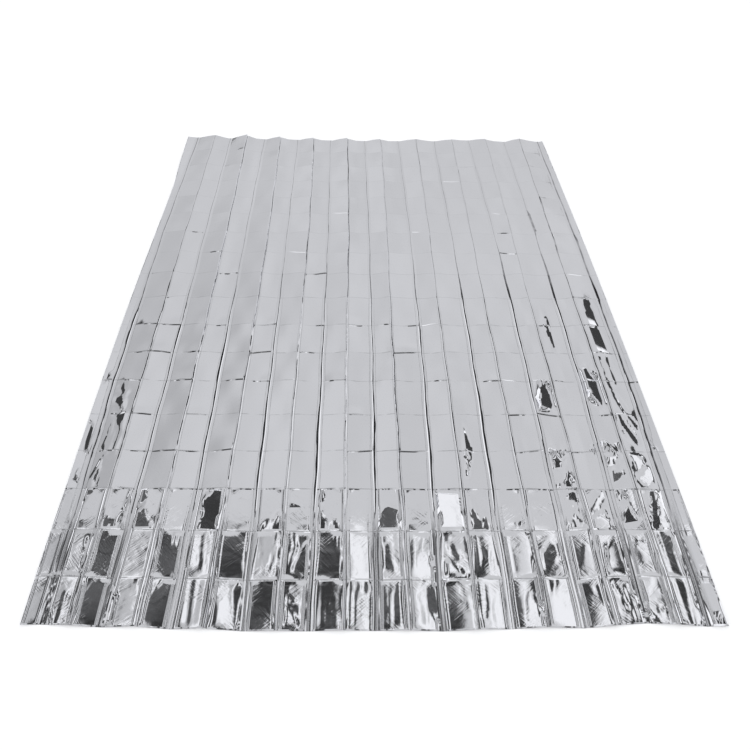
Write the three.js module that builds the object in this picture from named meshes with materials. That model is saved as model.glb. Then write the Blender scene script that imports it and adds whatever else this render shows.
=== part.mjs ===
// Emergency foil blanket, spread out on the ground: one cut sheet of metallised film that
// still holds the grid of creases from its packing. Millimetres, +Z up. The origin lies on
// the ground in the middle of the outline, +Y runs along the length.

import * as THREE from 'three';

// Film, as a solid that can be handled: the real film is thinner than a hair.
const FILM_THICKNESS = 1.1;

// Lengthwise creases: even ones are valleys that touch the ground, odd ones are ridges.
// On a leaning ridge the drops, as shares of its height, lower the right flank.
const STRIP_WIDTH = 76;
const LEFT_MARGIN = 40;
const RIGHT_MARGIN = 30;
const FOOT_HALF_WIDTH = 9;
const RIDGE_HALF_WIDTH = 5;
const CREST_DROP = 0.35;
const FLANK_DROP = 0.18;

// Cross creases divide every strip into panels. The middle of a panel stays above the
// ground, however far its cross crease folds down.
const PANEL_LENGTH = 116;
const CROSS_FOLD_RISE = 2.5;
const LOWEST_PANEL = 0.6;

// Small unevenness that no two folds share.
const LINE_KINK = 2.5;
const RIDGE_UNEVENNESS = 0.16;
const EDGE_LIFT = 3;
const EDGE_UNEVENNESS = 0.5;

// One row for each lengthwise crease, from left to right. drift is its sideways distance
// from its even place near, half way and far. reach is how far the sheet runs past its even
// ends there, near and far. height is the ridge's height, near and far, and lean is 1 where
// its right flank is the steep one.
const CREASES = [
  { drift: [5, -14, -2], reach: [-4, 8], height: [0, 0], lean: 0 },
  { drift: [-6, -6, 4], reach: [-2, 6], height: [8, 12], lean: 0 },
  { drift: [-12, -10, -8], reach: [2, 2], height: [0, 0], lean: 0 },
  { drift: [-9, -4, -5], reach: [0, 3], height: [7, 16], lean: 1 },
  { drift: [-8, -8, -6], reach: [6, -4], height: [0, 0], lean: 0 },
  { drift: [-8, 1, -8], reach: [4, -3], height: [9, 13], lean: 1 },
  { drift: [-1, -4, -7], reach: [10, -7], height: [0, 0], lean: 0 },
  { drift: [-2, 0, -10], reach: [9, -8], height: [7, 10], lean: 1 },
  { drift: [-2, -2, -12], reach: [10, -11], height: [0, 0], lean: 0 },
  { drift: [-1, -1, -13], reach: [8, -11], height: [8, 12], lean: 1 },
  { drift: [-2, 0, -12], reach: [9, -14], height: [0, 0], lean: 0 },
  { drift: [-6, -9, -16], reach: [8, -13], height: [9, 10], lean: 1 },
  { drift: [-5, 2, -13], reach: [10, -14], height: [0, 0], lean: 0 },
  { drift: [-2, -2, -11], reach: [6, -13], height: [8, 9], lean: 0 },
  { drift: [1, 6, -3], reach: [5, -13], height: [0, 0], lean: 0 },
  { drift: [3, 4, -2], reach: [1, -6], height: [7, 6], lean: 0 },
  { drift: [10, 16, 1], reach: [3, -3], height: [0, 0], lean: 0 },
  { drift: [5, 5, 0], reach: [-3, -3], height: [9, 8], lean: 1 },
  { drift: [1, 18, 8], reach: [-8, -15], height: [0, 0], lean: 0 },
  { drift: [-5, 2, -3], reach: [-5, -6], height: [8, 11], lean: 0 },
  { drift: [-15, 12, 5], reach: [-1, -12], height: [0, 0], lean: 0 },
];

// How far each cross crease lies from its even place, from the near end to the far end.
const CROSS_OFFSETS = [0, -6, -4, -6, -8, -3, 4, 0, 2, 14, 19, 16, 17, 20, 12, 10, 8, 6, 0];

// Corners and long edges. The bows are listed at even steps from the near corner to the far.
const LEFT_CORNER_REACH = [-3, 10];
const RIGHT_CORNER_REACH = [-2, -13];
const LEFT_BOW = [1, 5, 6, 9, 10, 10, 8, 4, 0, -3, 5, 7];
const RIGHT_BOW = [1, 6, 8, 9, 10, 10, 10, 9, 7, 4, 1, -2];

// Creased corners and puckers that stand up where the film was pulled out of its folds:
// strip and row count from the near left corner, and rise is added in the panel's middle.
const PUCKERS = [
  { strip: 6, row: 1, rise: 7 },
  { strip: 6, row: 2, rise: 4 },
  { strip: 17, row: 2, rise: 9 },
  { strip: 18, row: 2, rise: 5 },
  { strip: 19, row: 3, rise: 7 },
  { strip: 18, row: 4, rise: 4 },
  { strip: 16, row: 5, rise: -2 },
  { strip: 0, row: 5, rise: 4 },
];

const PANEL_COUNT = CROSS_OFFSETS.length - 1;
const STRIP_COUNT = CREASES.length - 1;
const EVEN_WIDTH = LEFT_MARGIN + STRIP_COUNT * STRIP_WIDTH + RIGHT_MARGIN;
const EVEN_LENGTH = PANEL_COUNT * PANEL_LENGTH;

// Value at share (0 to 1) of a list of evenly spaced values.
function along(values, share) {
  const place = THREE.MathUtils.clamp(share, 0, 1) * (values.length - 1);
  const index = Math.min(Math.floor(place), values.length - 2);
  return THREE.MathUtils.lerp(values[index], values[index + 1], place - index);
}

// A repeatable unevenness between -1 and 1 for one crease at one row.
function unevenness(crease, row) {
  return Math.sin(2.1 * crease + 1.7 * row) * Math.cos(0.9 * crease - 1.3 * row);
}

// The sheet is drawn in rows half a panel apart, so that a row lies on every cross crease and
// another half way between each two.
function rowShare(halfRow) {
  return halfRow / (2 * PANEL_COUNT);
}

// How far along a station lies: the outline's reach fades out over a sixth of the length.
function rowY(halfRow, [nearReach, farReach]) {
  const share = rowShare(halfRow);
  const even = (halfRow * PANEL_LENGTH) / 2 - EVEN_LENGTH / 2 + along(CROSS_OFFSETS, share);
  const nearPull = Math.max(0, 1 - 6 * share);
  const farPull = Math.max(0, 6 * share - 5);
  return even - nearReach * nearPull + farReach * farPull;
}

function creaseX(crease, halfRow) {
  const [near, middle, far] = CREASES[crease].drift;
  const even = LEFT_MARGIN + crease * STRIP_WIDTH - EVEN_WIDTH / 2;
  const drift = along([near, middle, middle, far], rowShare(halfRow));
  return even + drift + LINE_KINK * unevenness(crease, halfRow / 2);
}

function ridgeHeight(crease, halfRow) {
  const height = along(CREASES[crease].height, rowShare(halfRow));
  return height * (1 + RIDGE_UNEVENNESS * unevenness(crease + 3, halfRow));
}

// Cross creases fold up in one strip and down in the next.
function crossFoldRise(strip, halfRow) {
  const onCrossCrease = halfRow % 2 === 0;
  const turn = (strip + halfRow / 2) % 2 === 0 ? 1 : -1;
  return onCrossCrease ? turn * CROSS_FOLD_RISE : 0;
}

function puckerRise(strip, halfRow) {
  return PUCKERS
    .filter((pucker) => pucker.strip === strip && 2 * pucker.row + 1 === halfRow)
    .reduce((sum, pucker) => sum + pucker.rise, 0);
}

// The stations of one row from the left edge to the right edge, each with the underside's
// height z: a flat foot at every valley, a narrow crest at every ridge, and the middle of
// every strip between them.
function rowStations(halfRow) {
  const share = rowShare(halfRow);
  const stations = [];
  const leftX = -EVEN_WIDTH / 2 - along(LEFT_BOW, share);
  const leftLift = EDGE_LIFT * (1 + EDGE_UNEVENNESS * unevenness(0, halfRow));
  stations.push({ x: leftX, y: rowY(halfRow, LEFT_CORNER_REACH), z: leftLift });
  CREASES.forEach((crease, index) => {
    const x = creaseX(index, halfRow);
    const y = rowY(halfRow, crease.reach);
    if (index % 2 === 0) {
      stations.push({ x: x - FOOT_HALF_WIDTH, y, z: 0 });
      stations.push({ x: x + FOOT_HALF_WIDTH, y, z: 0 });
    } else {
      const height = ridgeHeight(index, halfRow);
      const rightHeight = height * (1 - CREST_DROP * crease.lean);
      stations.push({ x: x - RIDGE_HALF_WIDTH, y, z: height });
      stations.push({ x: x + RIDGE_HALF_WIDTH, y, z: rightHeight });
    }
    if (index < STRIP_COUNT) {
      stations.push(panelStation(index, halfRow));
    }
  });
  const rightX = EVEN_WIDTH / 2 + along(RIGHT_BOW, share);
  const rightLift = EDGE_LIFT * (1 + EDGE_UNEVENNESS * unevenness(5, halfRow));
  stations.push({ x: rightX, y: rowY(halfRow, RIGHT_CORNER_REACH), z: rightLift });
  return stations;
}

// The middle of a strip: below the straight line on the flank that leans, and folded up or
// down at the cross creases.
function panelStation(strip, halfRow) {
  const left = CREASES[strip];
  const right = CREASES[strip + 1];
  const ridge = strip % 2 === 0 ? strip + 1 : strip;
  const lean = strip % 2 === 0 ? 0 : CREASES[ridge].lean;
  const height = ridgeHeight(ridge, halfRow) * (0.5 - FLANK_DROP * lean);
  const rise = crossFoldRise(strip, halfRow) + puckerRise(strip, halfRow);
  return {
    x: (creaseX(strip, halfRow) + creaseX(strip + 1, halfRow)) / 2,
    y: rowY(halfRow, left.reach.map((reach, end) => (reach + right.reach[end]) / 2)),
    z: Math.max(LOWEST_PANEL, height + rise),
  };
}

// Closes a grid of points into one sheet: its upper side, its lower side and its rim.
function sheetGeometry(rows, thickness) {
  const rowCount = rows.length;
  const columnCount = rows[0].length;
  const lowerStart = rowCount * columnCount;
  const positions = [];
  for (const lift of [thickness, 0]) {
    for (const row of rows) {
      for (const { x, y, z } of row) {
        positions.push(x, y, z + lift);
      }
    }
  }
  const indices = [];
  const upper = (row, column) => row * columnCount + column;
  const lower = (row, column) => lowerStart + upper(row, column);
  const quad = (a, b, c, d) => indices.push(a, b, c, a, c, d);
  for (let row = 0; row + 1 < rowCount; row += 1) {
    for (let column = 0; column + 1 < columnCount; column += 1) {
      quad(upper(row, column), upper(row, column + 1), upper(row + 1, column + 1), upper(row + 1, column));
      quad(lower(row, column), lower(row + 1, column), lower(row + 1, column + 1), lower(row, column + 1));
    }
  }
  const far = rowCount - 1;
  const right = columnCount - 1;
  for (let column = 0; column < right; column += 1) {
    quad(lower(0, column), lower(0, column + 1), upper(0, column + 1), upper(0, column));
    quad(lower(far, column + 1), lower(far, column), upper(far, column), upper(far, column + 1));
  }
  for (let row = 0; row < far; row += 1) {
    quad(lower(row + 1, 0), lower(row, 0), upper(row, 0), upper(row + 1, 0));
    quad(lower(row, right), lower(row + 1, right), upper(row + 1, right), upper(row, right));
  }
  const geometry = new THREE.BufferGeometry();
  geometry.setAttribute('position', new THREE.Float32BufferAttribute(positions, 3));
  geometry.setIndex(indices);
  geometry.computeVertexNormals();
  return geometry;
}

// Silver metallised film
const silverFilm = new THREE.MeshStandardMaterial({ color: 0xd9dadd, roughness: 0.15, metalness: 1 });

const rows = Array.from({ length: 2 * PANEL_COUNT + 1 }, (_, halfRow) => rowStations(halfRow));
const foilSheet = new THREE.Mesh(sheetGeometry(rows, FILM_THICKNESS), silverFilm);
foilSheet.name = 'foil_sheet';

const blanket = new THREE.Group();
blanket.add(foilSheet);

export default blanket;
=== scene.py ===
"""Emergency foil blanket, spread out: the looks of its creased silver film."""

import logging
import math
from dataclasses import dataclass, field
from enum import Enum

import bpy
import numpy as np
from mathutils import Matrix, Vector


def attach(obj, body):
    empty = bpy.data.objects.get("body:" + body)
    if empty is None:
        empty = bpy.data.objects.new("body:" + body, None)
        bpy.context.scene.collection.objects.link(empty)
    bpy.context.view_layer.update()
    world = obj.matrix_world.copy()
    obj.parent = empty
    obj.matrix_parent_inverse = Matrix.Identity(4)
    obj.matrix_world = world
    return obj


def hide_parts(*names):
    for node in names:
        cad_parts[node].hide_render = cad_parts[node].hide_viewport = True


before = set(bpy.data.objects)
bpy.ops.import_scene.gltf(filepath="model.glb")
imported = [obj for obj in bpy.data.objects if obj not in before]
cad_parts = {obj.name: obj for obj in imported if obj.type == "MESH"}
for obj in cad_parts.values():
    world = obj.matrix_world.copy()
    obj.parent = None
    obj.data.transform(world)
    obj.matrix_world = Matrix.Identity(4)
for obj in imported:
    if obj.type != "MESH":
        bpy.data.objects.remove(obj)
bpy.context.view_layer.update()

MM = 0.001
log = logging.getLogger("foil_blanket")

# A step: where it starts and ends, and its value at either end.
Step = tuple[float, float, float, float]
# A band: where it starts and ends, and how soft its ends are.
Band = tuple[float, float, float]


# ---------------------------------------------------------------- helpers

def deselect_all() -> None:
    """Leaves nothing selected, so that an operator acts on the new piece alone."""
    bpy.ops.object.select_all(action="DESELECT")


def smooth_step(low: float, high: float, values: np.ndarray) -> np.ndarray:
    """Rises smoothly from 0 at low to 1 at high.

    Args:
        low: where the rise starts.
        high: where it ends.
        values: the numbers to look up.

    Returns:
        The height of the step at each of the values.
    """
    share = np.clip((values - low) / (high - low), 0.0, 1.0)
    return share * share * (3.0 - 2.0 * share)


def along(values: tuple[float, ...], share: np.ndarray) -> np.ndarray:
    """Reads evenly spaced values at a share, from 0 to 1, of their length.

    Args:
        values: the evenly spaced values.
        share: where to read them.

    Returns:
        The values between, joined by straight lines.
    """
    places = np.linspace(0.0, 1.0, len(values))
    return np.interp(share, places, values)


def unevenness(crease: float, row: np.ndarray) -> np.ndarray:
    """A repeatable unevenness between -1 and 1 for one crease at one row."""
    return np.sin(2.1 * crease + 1.7 * row) * np.cos(0.9 * crease - 1.3 * row)


class Wiring:
    """Adds nodes to one node tree and joins them."""

    def __init__(self, tree: bpy.types.NodeTree) -> None:
        """Takes the tree that the nodes go into."""
        self.tree = tree

    def node(self, kind: str, inputs: dict | None = None, **settings: object) -> bpy.types.Node:
        """Adds a node.

        Args:
            kind: the node's type name.
            inputs: values or sockets for its inputs, by name or number.
            settings: the node's own properties.

        Returns:
            The new node.
        """
        made = self.tree.nodes.new(kind)
        for name, value in settings.items():
            setattr(made, name, value)
        for key, value in (inputs or {}).items():
            if isinstance(value, bpy.types.NodeSocket):
                self.tree.links.new(value, made.inputs[key])
            else:
                made.inputs[key].default_value = value
        return made

    def math(self, operation: str, *values: object, clamp: bool = False) -> bpy.types.NodeSocket:
        """Adds a Math node on one, two or three values and returns its result."""
        inputs = dict(enumerate(values))
        return self.node("ShaderNodeMath", inputs, operation=operation, use_clamp=clamp).outputs[0]

    def times(self, first: object, second: object) -> bpy.types.NodeSocket:
        """Adds the product of two values."""
        return self.math("MULTIPLY", first, second)

    def parts(self, vector: object) -> tuple[bpy.types.NodeSocket, ...]:
        """Adds the split of a vector and returns its three parts."""
        return tuple(self.node("ShaderNodeSeparateXYZ", {0: vector}).outputs)

    def noise(self, vector: object, scale: float, detail: float = 2.0) -> bpy.types.NodeSocket:
        """Adds noise of a scale and detail and returns its value."""
        inputs = {"Vector": vector, "Scale": scale, "Detail": detail}
        return self.node("ShaderNodeTexNoise", inputs).outputs[0]

    def step(self, value: object, low: float, high: float,
             start: float = 0.0, end: float = 1.0) -> bpy.types.NodeSocket:
        """Adds a smooth step.

        Args:
            value: what the step follows.
            low: where it starts.
            high: where it ends.
            start: its value up to there.
            end: its value from there.

        Returns:
            The result.
        """
        inputs = {"Value": value, "From Min": low, "From Max": high, "To Min": start, "To Max": end}
        made = self.node("ShaderNodeMapRange", inputs, interpolation_type="SMOOTHSTEP")
        return made.outputs["Result"]

    def window(self, value: object, low: float, high: float, soft: float) -> bpy.types.NodeSocket:
        """Adds a mask that is 1 within a band.

        Args:
            value: what the mask follows.
            low: where the band starts.
            high: where it ends.
            soft: how far its edges reach to either side.

        Returns:
            The result.
        """
        rise = self.step(value, low - soft, low + soft)
        fall = self.step(value, high - soft, high + soft, 1.0, 0.0)
        return self.times(rise, fall)

    def mix(self, share: object, first: object, second: object) -> bpy.types.NodeSocket:
        """Adds a blend of two values by a share."""
        inputs = {0: share, 2: first, 3: second}
        return self.node("ShaderNodeMix", inputs, data_type="FLOAT").outputs[0]


# ---------------------------------------------------------------- camera, floor and studio

@dataclass(frozen=True)
class StudioCamera:
    """The camera above the sheet's near edge, in metres and degrees."""

    place: tuple[float, float, float] = (-0.0497, -1.4104, 1.3627)
    pitch_down: float = 51.305
    turn_right: float = 0.508
    roll: float = 0.592
    lens_mm: float = 27.61
    shift_x: float = 0.0234

    def build(self) -> bpy.types.Object:
        """Makes the camera and makes it the scene's.

        Returns:
            The camera object.
        """
        pitch, turn, roll = (math.radians(a) for a in (self.pitch_down, self.turn_right, self.roll))
        forward = Vector((math.sin(turn) * math.cos(pitch), math.cos(turn) * math.cos(pitch),
                          -math.sin(pitch)))
        level = Vector((math.cos(turn), -math.sin(turn), 0.0))
        upright = level.cross(forward)
        right = level * math.cos(roll) + upright * math.sin(roll)
        up = upright * math.cos(roll) - level * math.sin(roll)
        data = bpy.data.cameras.new("studio_camera")
        data.lens = self.lens_mm
        data.shift_x = self.shift_x
        data.clip_start = 0.05
        data.clip_end = 50.0
        camera = bpy.data.objects.new("studio_camera", data)
        bpy.context.scene.collection.objects.link(camera)
        axes = Matrix((right, up, -forward)).transposed()
        camera.matrix_world = Matrix.Translation(Vector(self.place)) @ axes.to_4x4()
        bpy.context.scene.camera = camera
        return camera


@dataclass(frozen=True)
class StudioFloor:
    """The plain pale floor that the sheet lies on, in metres."""

    size: float = 30.0
    tone: tuple[float, float, float] = (0.95, 0.95, 0.955)

    def build(self) -> bpy.types.Object:
        """Makes the floor.

        Returns:
            The floor object.
        """
        deselect_all()
        bpy.ops.mesh.primitive_plane_add(size=self.size, location=(0.0, 0.0, 0.0))
        floor = bpy.context.object
        floor.name = "studio_floor"
        material = bpy.data.materials.new("pale_floor")
        material.use_nodes = True
        surface = material.node_tree.nodes["Principled BSDF"]
        surface.inputs["Base Color"].default_value = (*self.tone, 1.0)
        surface.inputs["Roughness"].default_value = 0.9
        surface.inputs["Specular IOR Level"].default_value = 0.0
        floor.data.materials.append(material)
        return floor


@dataclass(frozen=True)
class Studio:
    """The soft light round the sheet.

    Directions are read on a level plane overhead: across is x over z, and ahead is y over
    z. A pale wall fills everything ahead of wall_start. Long soft boxes with dark gaps
    between them hang overhead, a dark bar hangs behind them, and a dark gap stands at each
    side of the wall.
    """

    wall_start: float = 0.44
    wall_soft: float = 0.012
    wall_level: float = 0.64
    wall_unevenness: float = 0.05
    wall_waves: tuple[float, float] = (5.0, 7.0)
    skirting: tuple[float, float] = (2.6, 4.2)
    skirting_level: float = 1.15
    left_shade: float = 0.24
    left_shade_across: tuple[float, float] = (-0.82, -0.36)
    left_shade_ahead: tuple[float, float] = (1.0, 1.6)
    side_gap: tuple[float, float] = (1.28, 2.10)
    side_gap_soft: float = 0.05
    side_gap_level: float = 0.05
    side_start: float = 2.35
    side_soft: float = 0.1
    side_level: float = 1.10
    box_pitch: float = 0.30
    box_half_width: float = 0.075
    box_soft: float = 0.014
    box_core: float = 0.026
    box_level_left: float = 0.50
    box_level_right: float = 0.74
    core_level: float = 0.98
    gap_level: float = 0.035
    near_gap_level: float = 0.085
    gap_unevenness: float = 0.5
    boxes_end: tuple[float, float] = (-0.20, -0.10)
    bar: tuple[float, float] = (-0.56, -0.35)
    bar_soft: float = 0.04
    bar_reach: tuple[float, float] = (0.62, 0.80)
    bar_level: float = 0.08
    low_start: tuple[float, float] = (1.2, 2.2)
    low_level: float = 0.58
    low_unevenness: float = 0.16
    below_level: float = 0.9
    floor_light: float = 1.16
    tint: tuple[float, float, float] = (0.985, 0.99, 1.0)

    def build(self) -> bpy.types.World:
        """Makes the world.

        Returns:
            The scene's new world.
        """
        world = bpy.data.worlds.new("soft_studio")
        world.use_nodes = True
        world.node_tree.nodes.clear()
        wiring = Wiring(world.node_tree)
        across, ahead, height = self._directions(wiring)
        wall = wiring.step(ahead, self.wall_start - self.wall_soft, self.wall_start + self.wall_soft)
        level = wiring.mix(wall, self._overhead(wiring, across, ahead), self._wall(wiring, across, ahead))
        seen = wiring.mix(wiring.step(height, -0.01, 0.01), self.below_level, level)
        path = wiring.node("ShaderNodeLightPath").outputs
        plain = wiring.math("MAXIMUM", path["Is Camera Ray"], path["Is Diffuse Ray"])
        strength = wiring.mix(plain, seen, self.floor_light)
        inputs = {"Color": (*self.tint, 1.0), "Strength": strength}
        background = wiring.node("ShaderNodeBackground", inputs)
        wiring.node("ShaderNodeOutputWorld", {"Surface": background.outputs[0]})
        bpy.context.scene.world = world
        return world

    def _directions(self, wiring: Wiring) -> tuple[bpy.types.NodeSocket, ...]:
        """Splits the direction that a ray looks in.

        Args:
            wiring: the world's wiring.

        Returns:
            Across, ahead and the height, as sockets.
        """
        x, y, z = wiring.parts(wiring.node("ShaderNodeTexCoord").outputs["Generated"])
        height = wiring.math("MAXIMUM", z, 0.02)
        return wiring.math("DIVIDE", x, height), wiring.math("DIVIDE", y, height), z

    def _wall(self, wiring: Wiring, across: object, ahead: object) -> bpy.types.NodeSocket:
        """Lights the pale wall, its bright foot and what stands at its sides.

        Args:
            wiring: the world's wiring.
            across: the direction across.
            ahead: the direction ahead.

        Returns:
            The level.
        """
        waves = [wiring.math("SINE", wiring.times(place, rate))
                 for place, rate in zip((across, ahead), self.wall_waves)]
        level = wiring.math("MULTIPLY_ADD", wiring.times(*waves), self.wall_level * self.wall_unevenness,
                            self.wall_level)
        shade = wiring.times(wiring.step(across, *self.left_shade_across, self.left_shade, 0.0),
                             wiring.step(ahead, *self.left_shade_ahead, 1.0, 0.4))
        level = wiring.times(level, wiring.math("SUBTRACT", 1.0, shade))
        level = wiring.mix(wiring.step(ahead, *self.skirting), level, self.skirting_level)
        aside = wiring.math("ABSOLUTE", across)
        side = wiring.step(aside, self.side_start - self.side_soft, self.side_start + self.side_soft)
        level = wiring.mix(side, level, self.side_level)
        gap = wiring.window(aside, *self.side_gap, self.side_gap_soft)
        return wiring.mix(gap, level, self.side_gap_level)

    def _overhead(self, wiring: Wiring, across: object, ahead: object) -> bpy.types.NodeSocket:
        """Lights the boxes, the gaps and the bar, and fades to an even level low down.

        Args:
            wiring: the world's wiring.
            across: the direction across.
            ahead: the direction ahead.

        Returns:
            The level.
        """
        squares = wiring.math("ADD", *(wiring.math("POWER", place, 2.0) for place in (across, ahead)))
        waves = wiring.math("SINE", wiring.times(wiring.math("ADD", across, ahead), 2.6))
        low = wiring.math("MULTIPLY_ADD", waves, self.low_level * self.low_unevenness, self.low_level)
        bar = wiring.times(wiring.window(ahead, *self.bar, self.bar_soft),
                           wiring.step(squares, *self.bar_reach, 1.0, 0.0))
        behind = wiring.mix(bar, low, self.bar_level)
        past = wiring.step(ahead, *self.boxes_end, 1.0, 0.0)
        level = wiring.mix(past, self._boxes(wiring, across, ahead), behind)
        return wiring.mix(wiring.step(squares, *self.low_start), level, low)

    def _boxes(self, wiring: Wiring, across: object, ahead: object) -> bpy.types.NodeSocket:
        """Lights the soft boxes and the uneven dark gaps between them.

        Args:
            wiring: the world's wiring.
            across: the direction across.
            ahead: the direction ahead.

        Returns:
            The level.
        """
        slant = wiring.math("MULTIPLY_ADD", ahead, 3.0, across)
        shades = wiring.math("SINE", wiring.math("MULTIPLY_ADD", slant, 11.0, 1.75))
        shades = wiring.math("MULTIPLY_ADD", shades, self.gap_unevenness, 1.0)
        gap = wiring.times(shades, wiring.step(ahead, 0.05, 0.42, self.gap_level, self.near_gap_level))
        aside = wiring.math("PINGPONG", across, self.box_pitch / 2)
        box, core = (wiring.step(aside, edge - self.box_soft, edge + self.box_soft, 1.0, 0.0)
                     for edge in (self.box_half_width, self.box_core))
        level = wiring.step(across, -0.5, 0.5, self.box_level_left, self.box_level_right)
        return wiring.mix(box, gap, wiring.mix(core, level, self.core_level))


# ---------------------------------------------------------------- the film's finish

@dataclass(frozen=True)
class SilverFilm:
    """Bright metallised film with the fine marks that its packing left in it, rubbed dull and painted darker
    as shade along its creases, with a painted dark reflection line on each crease's outer side.

    Lengths are in metres along the film as it was cut.
    """

    colour: tuple[float, float, float] = (0.89, 0.895, 0.93)
    # The darker colour below is painted shade along the creases, cross folds and bands, where the film is
    # also rubbed dull.
    crease_shade_colour: tuple[float, float, float] = (0.54, 0.545, 0.565)
    # The colour below is a painted dark reflection line on each crease's outer side.
    shade_line_colour: tuple[float, float, float] = (0.30, 0.30, 0.32)
    roughness: float = 0.06
    worn_roughness: float = 0.34
    cut_size: tuple[float, float] = (1.6, 2.1)
    middle: float = 0.79
    strip_width: float = 0.076
    first_crease: float = 0.040
    panel_length: float = 0.116
    # Where the film is rubbed dull and painted darker as shade: the cross folds, the lines beside the
    # lengthwise creases and their streaked bands.
    fold_line: Step = (0.0004, 0.0022, 1.0, 0.0)
    fold_fade: Step = (0.8, 1.3, 0.7, 0.16)
    patch_scale: float = 38.0
    patches: tuple[float, float] = (0.36, 0.62)
    patches_filled: Step = (0.8, 1.2, 0.0, 0.85)
    edge_line: Band = (0.0114, 0.0128, 0.0004)
    edge_reach: Band = (0.28, 1.00, 0.16)
    edge_least: float = 0.5
    band_line: Step = (0.0112, 0.0126, 1.0, 0.0)
    band_fade: Step = (0.40, 1.20, 0.22, 0.08)
    streak_scale: float = 170.0
    streak_stretch: float = 0.006
    streaks: Step = (0.42, 0.58, 0.3, 1.0)
    # Where the painted dark reflection line lies beside a crease, how it fades ahead and how it breaks into
    # patches.
    shade_line_place: Band = (-0.0004, 0.0027, 0.0004)
    shade_line_near: Step = (0.26, 0.40, 0.45, 1.0)
    shade_line_far: Step = (1.0, 1.4, 1.0, 0.8)
    shade_line_scale: float = 22.0
    shade_line_patches: Step = (0.35, 0.60, 0.55, 1.0)
    ripple_scale: float = 60.0
    ripple_height: float = 0.00007
    ripple_calm: Step = (0.0112, 0.0140, 0.12, 1.0)
    scratch_scale: float = 260.0
    scratch_stretch: float = 9.0
    scratch_depth: Step = (0.30, 0.44, 0.00016, 0.00006)
    scratch_turns: tuple[float, float] = (0.72, -0.80)
    scratch_places: tuple[float, float] = (3.0, 7.0)
    scratch_patch_scale: float = 16.0
    scratch_patches: tuple[float, float] = (0.48, 0.60)

    def build(self) -> bpy.types.Material:
        """Makes the material.

        Returns:
            The finished material.
        """
        material = bpy.data.materials.new("silver_film")
        material.use_nodes = True
        wiring = Wiring(material.node_tree)
        surface = material.node_tree.nodes["Principled BSDF"]
        cut = wiring.node("ShaderNodeUVMap", uv_map="film_cut").outputs[0]
        inputs = {"Vector": cut, "Scale": (*self.cut_size, 1.0)}
        metres = wiring.node("ShaderNodeMapping", inputs).outputs[0]
        across, ahead, _ = wiring.parts(metres)
        # The mask below is dull wear and painted shade along the creases, cross folds and bands.
        wear_and_shade = self._wear_and_crease_shade(wiring, metres, across, ahead)
        colour = self._tinted(wiring, wear_and_shade, (*self.colour, 1.0), self.crease_shade_colour)
        # Painted reflection: a dark line on each crease's outer side.
        colour = self._tinted(wiring, self._shade_line_mask(wiring, metres, across, ahead), colour, self.shade_line_colour)
        roughness = wiring.mix(wear_and_shade, self.roughness, self.worn_roughness)
        ripples = self._ripples(wiring, metres, across, ahead)
        for name, value in (("Base Color", colour), ("Roughness", roughness), ("Normal", ripples)):
            material.node_tree.links.new(value, surface.inputs[name])
        surface.inputs["Metallic"].default_value = 1.0
        return material

    @staticmethod
    def _tinted(wiring: Wiring, share: object, first: object, second: tuple) -> bpy.types.NodeSocket:
        """Adds a blend of a colour or its socket and a second colour by a share."""
        inputs = {0: share, 6: first, 7: (*second, 1.0)}
        return wiring.node("ShaderNodeMix", inputs, data_type="RGBA").outputs[2]

    def _aside(self, wiring: Wiring, across: object) -> bpy.types.NodeSocket:
        """Returns the distance from the nearest lengthwise crease."""
        place = wiring.math("SUBTRACT", across, self.first_crease)
        return wiring.math("PINGPONG", place, self.strip_width / 2)

    def _wear_and_crease_shade(self, wiring: Wiring, metres: object, across: object, ahead: object) -> bpy.types.NodeSocket:
        """Returns the mask of the film rubbed dull and painted darker as shade along its creases, cross folds
        and in their bands.

        Args:
            wiring: the material's wiring.
            metres: the place on the cut film.
            across: its part across.
            ahead: its part ahead.

        Returns:
            The mask.
        """
        broken = wiring.noise(metres, self.patch_scale, 3.0)
        aside = self._aside(wiring, across)
        along_film = wiring.math("PINGPONG", ahead, self.panel_length / 2)
        fold = wiring.times(wiring.step(along_film, *self.fold_line), wiring.step(ahead, *self.fold_fade))
        patchy = wiring.math("MAXIMUM", wiring.step(broken, *self.patches),
                             wiring.step(ahead, *self.patches_filled))
        fold = wiring.times(fold, patchy)
        edge = wiring.times(wiring.window(aside, *self.edge_line), wiring.window(ahead, *self.edge_reach))
        edge = wiring.times(edge, wiring.step(broken, *self.patches, self.edge_least, 1.0))
        inputs = {"Vector": metres, "Scale": (1.0, self.streak_stretch, 1.0)}
        drawn = wiring.node("ShaderNodeMapping", inputs).outputs[0]
        streaks = wiring.noise(drawn, self.streak_scale, 1.0)
        band = wiring.times(wiring.step(aside, *self.band_line), wiring.step(ahead, *self.band_fade))
        band = wiring.times(band, wiring.step(streaks, *self.streaks))
        return wiring.math("MAXIMUM", wiring.math("MAXIMUM", fold, edge), band)

    def _shade_line_mask(self, wiring: Wiring, metres: object, across: object, ahead: object) -> bpy.types.NodeSocket:
        """Returns the mask of a painted dark reflection line on each crease's outer side.

        Args:
            wiring: the material's wiring.
            metres: the place on the cut film.
            across: its part across.
            ahead: its part ahead.

        Returns:
            The mask.
        """
        outwards = wiring.math("SIGN", wiring.math("SUBTRACT", across, self.middle))
        place = wiring.math("SUBTRACT", across, self.first_crease)
        place = wiring.math("WRAP", place, self.strip_width / 2, -self.strip_width / 2)
        line = wiring.window(wiring.times(place, outwards), *self.shade_line_place)
        for fade in (self.shade_line_near, self.shade_line_far):
            line = wiring.times(line, wiring.step(ahead, *fade))
        return wiring.times(line, wiring.step(wiring.noise(metres, self.shade_line_scale), *self.shade_line_patches))

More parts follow.
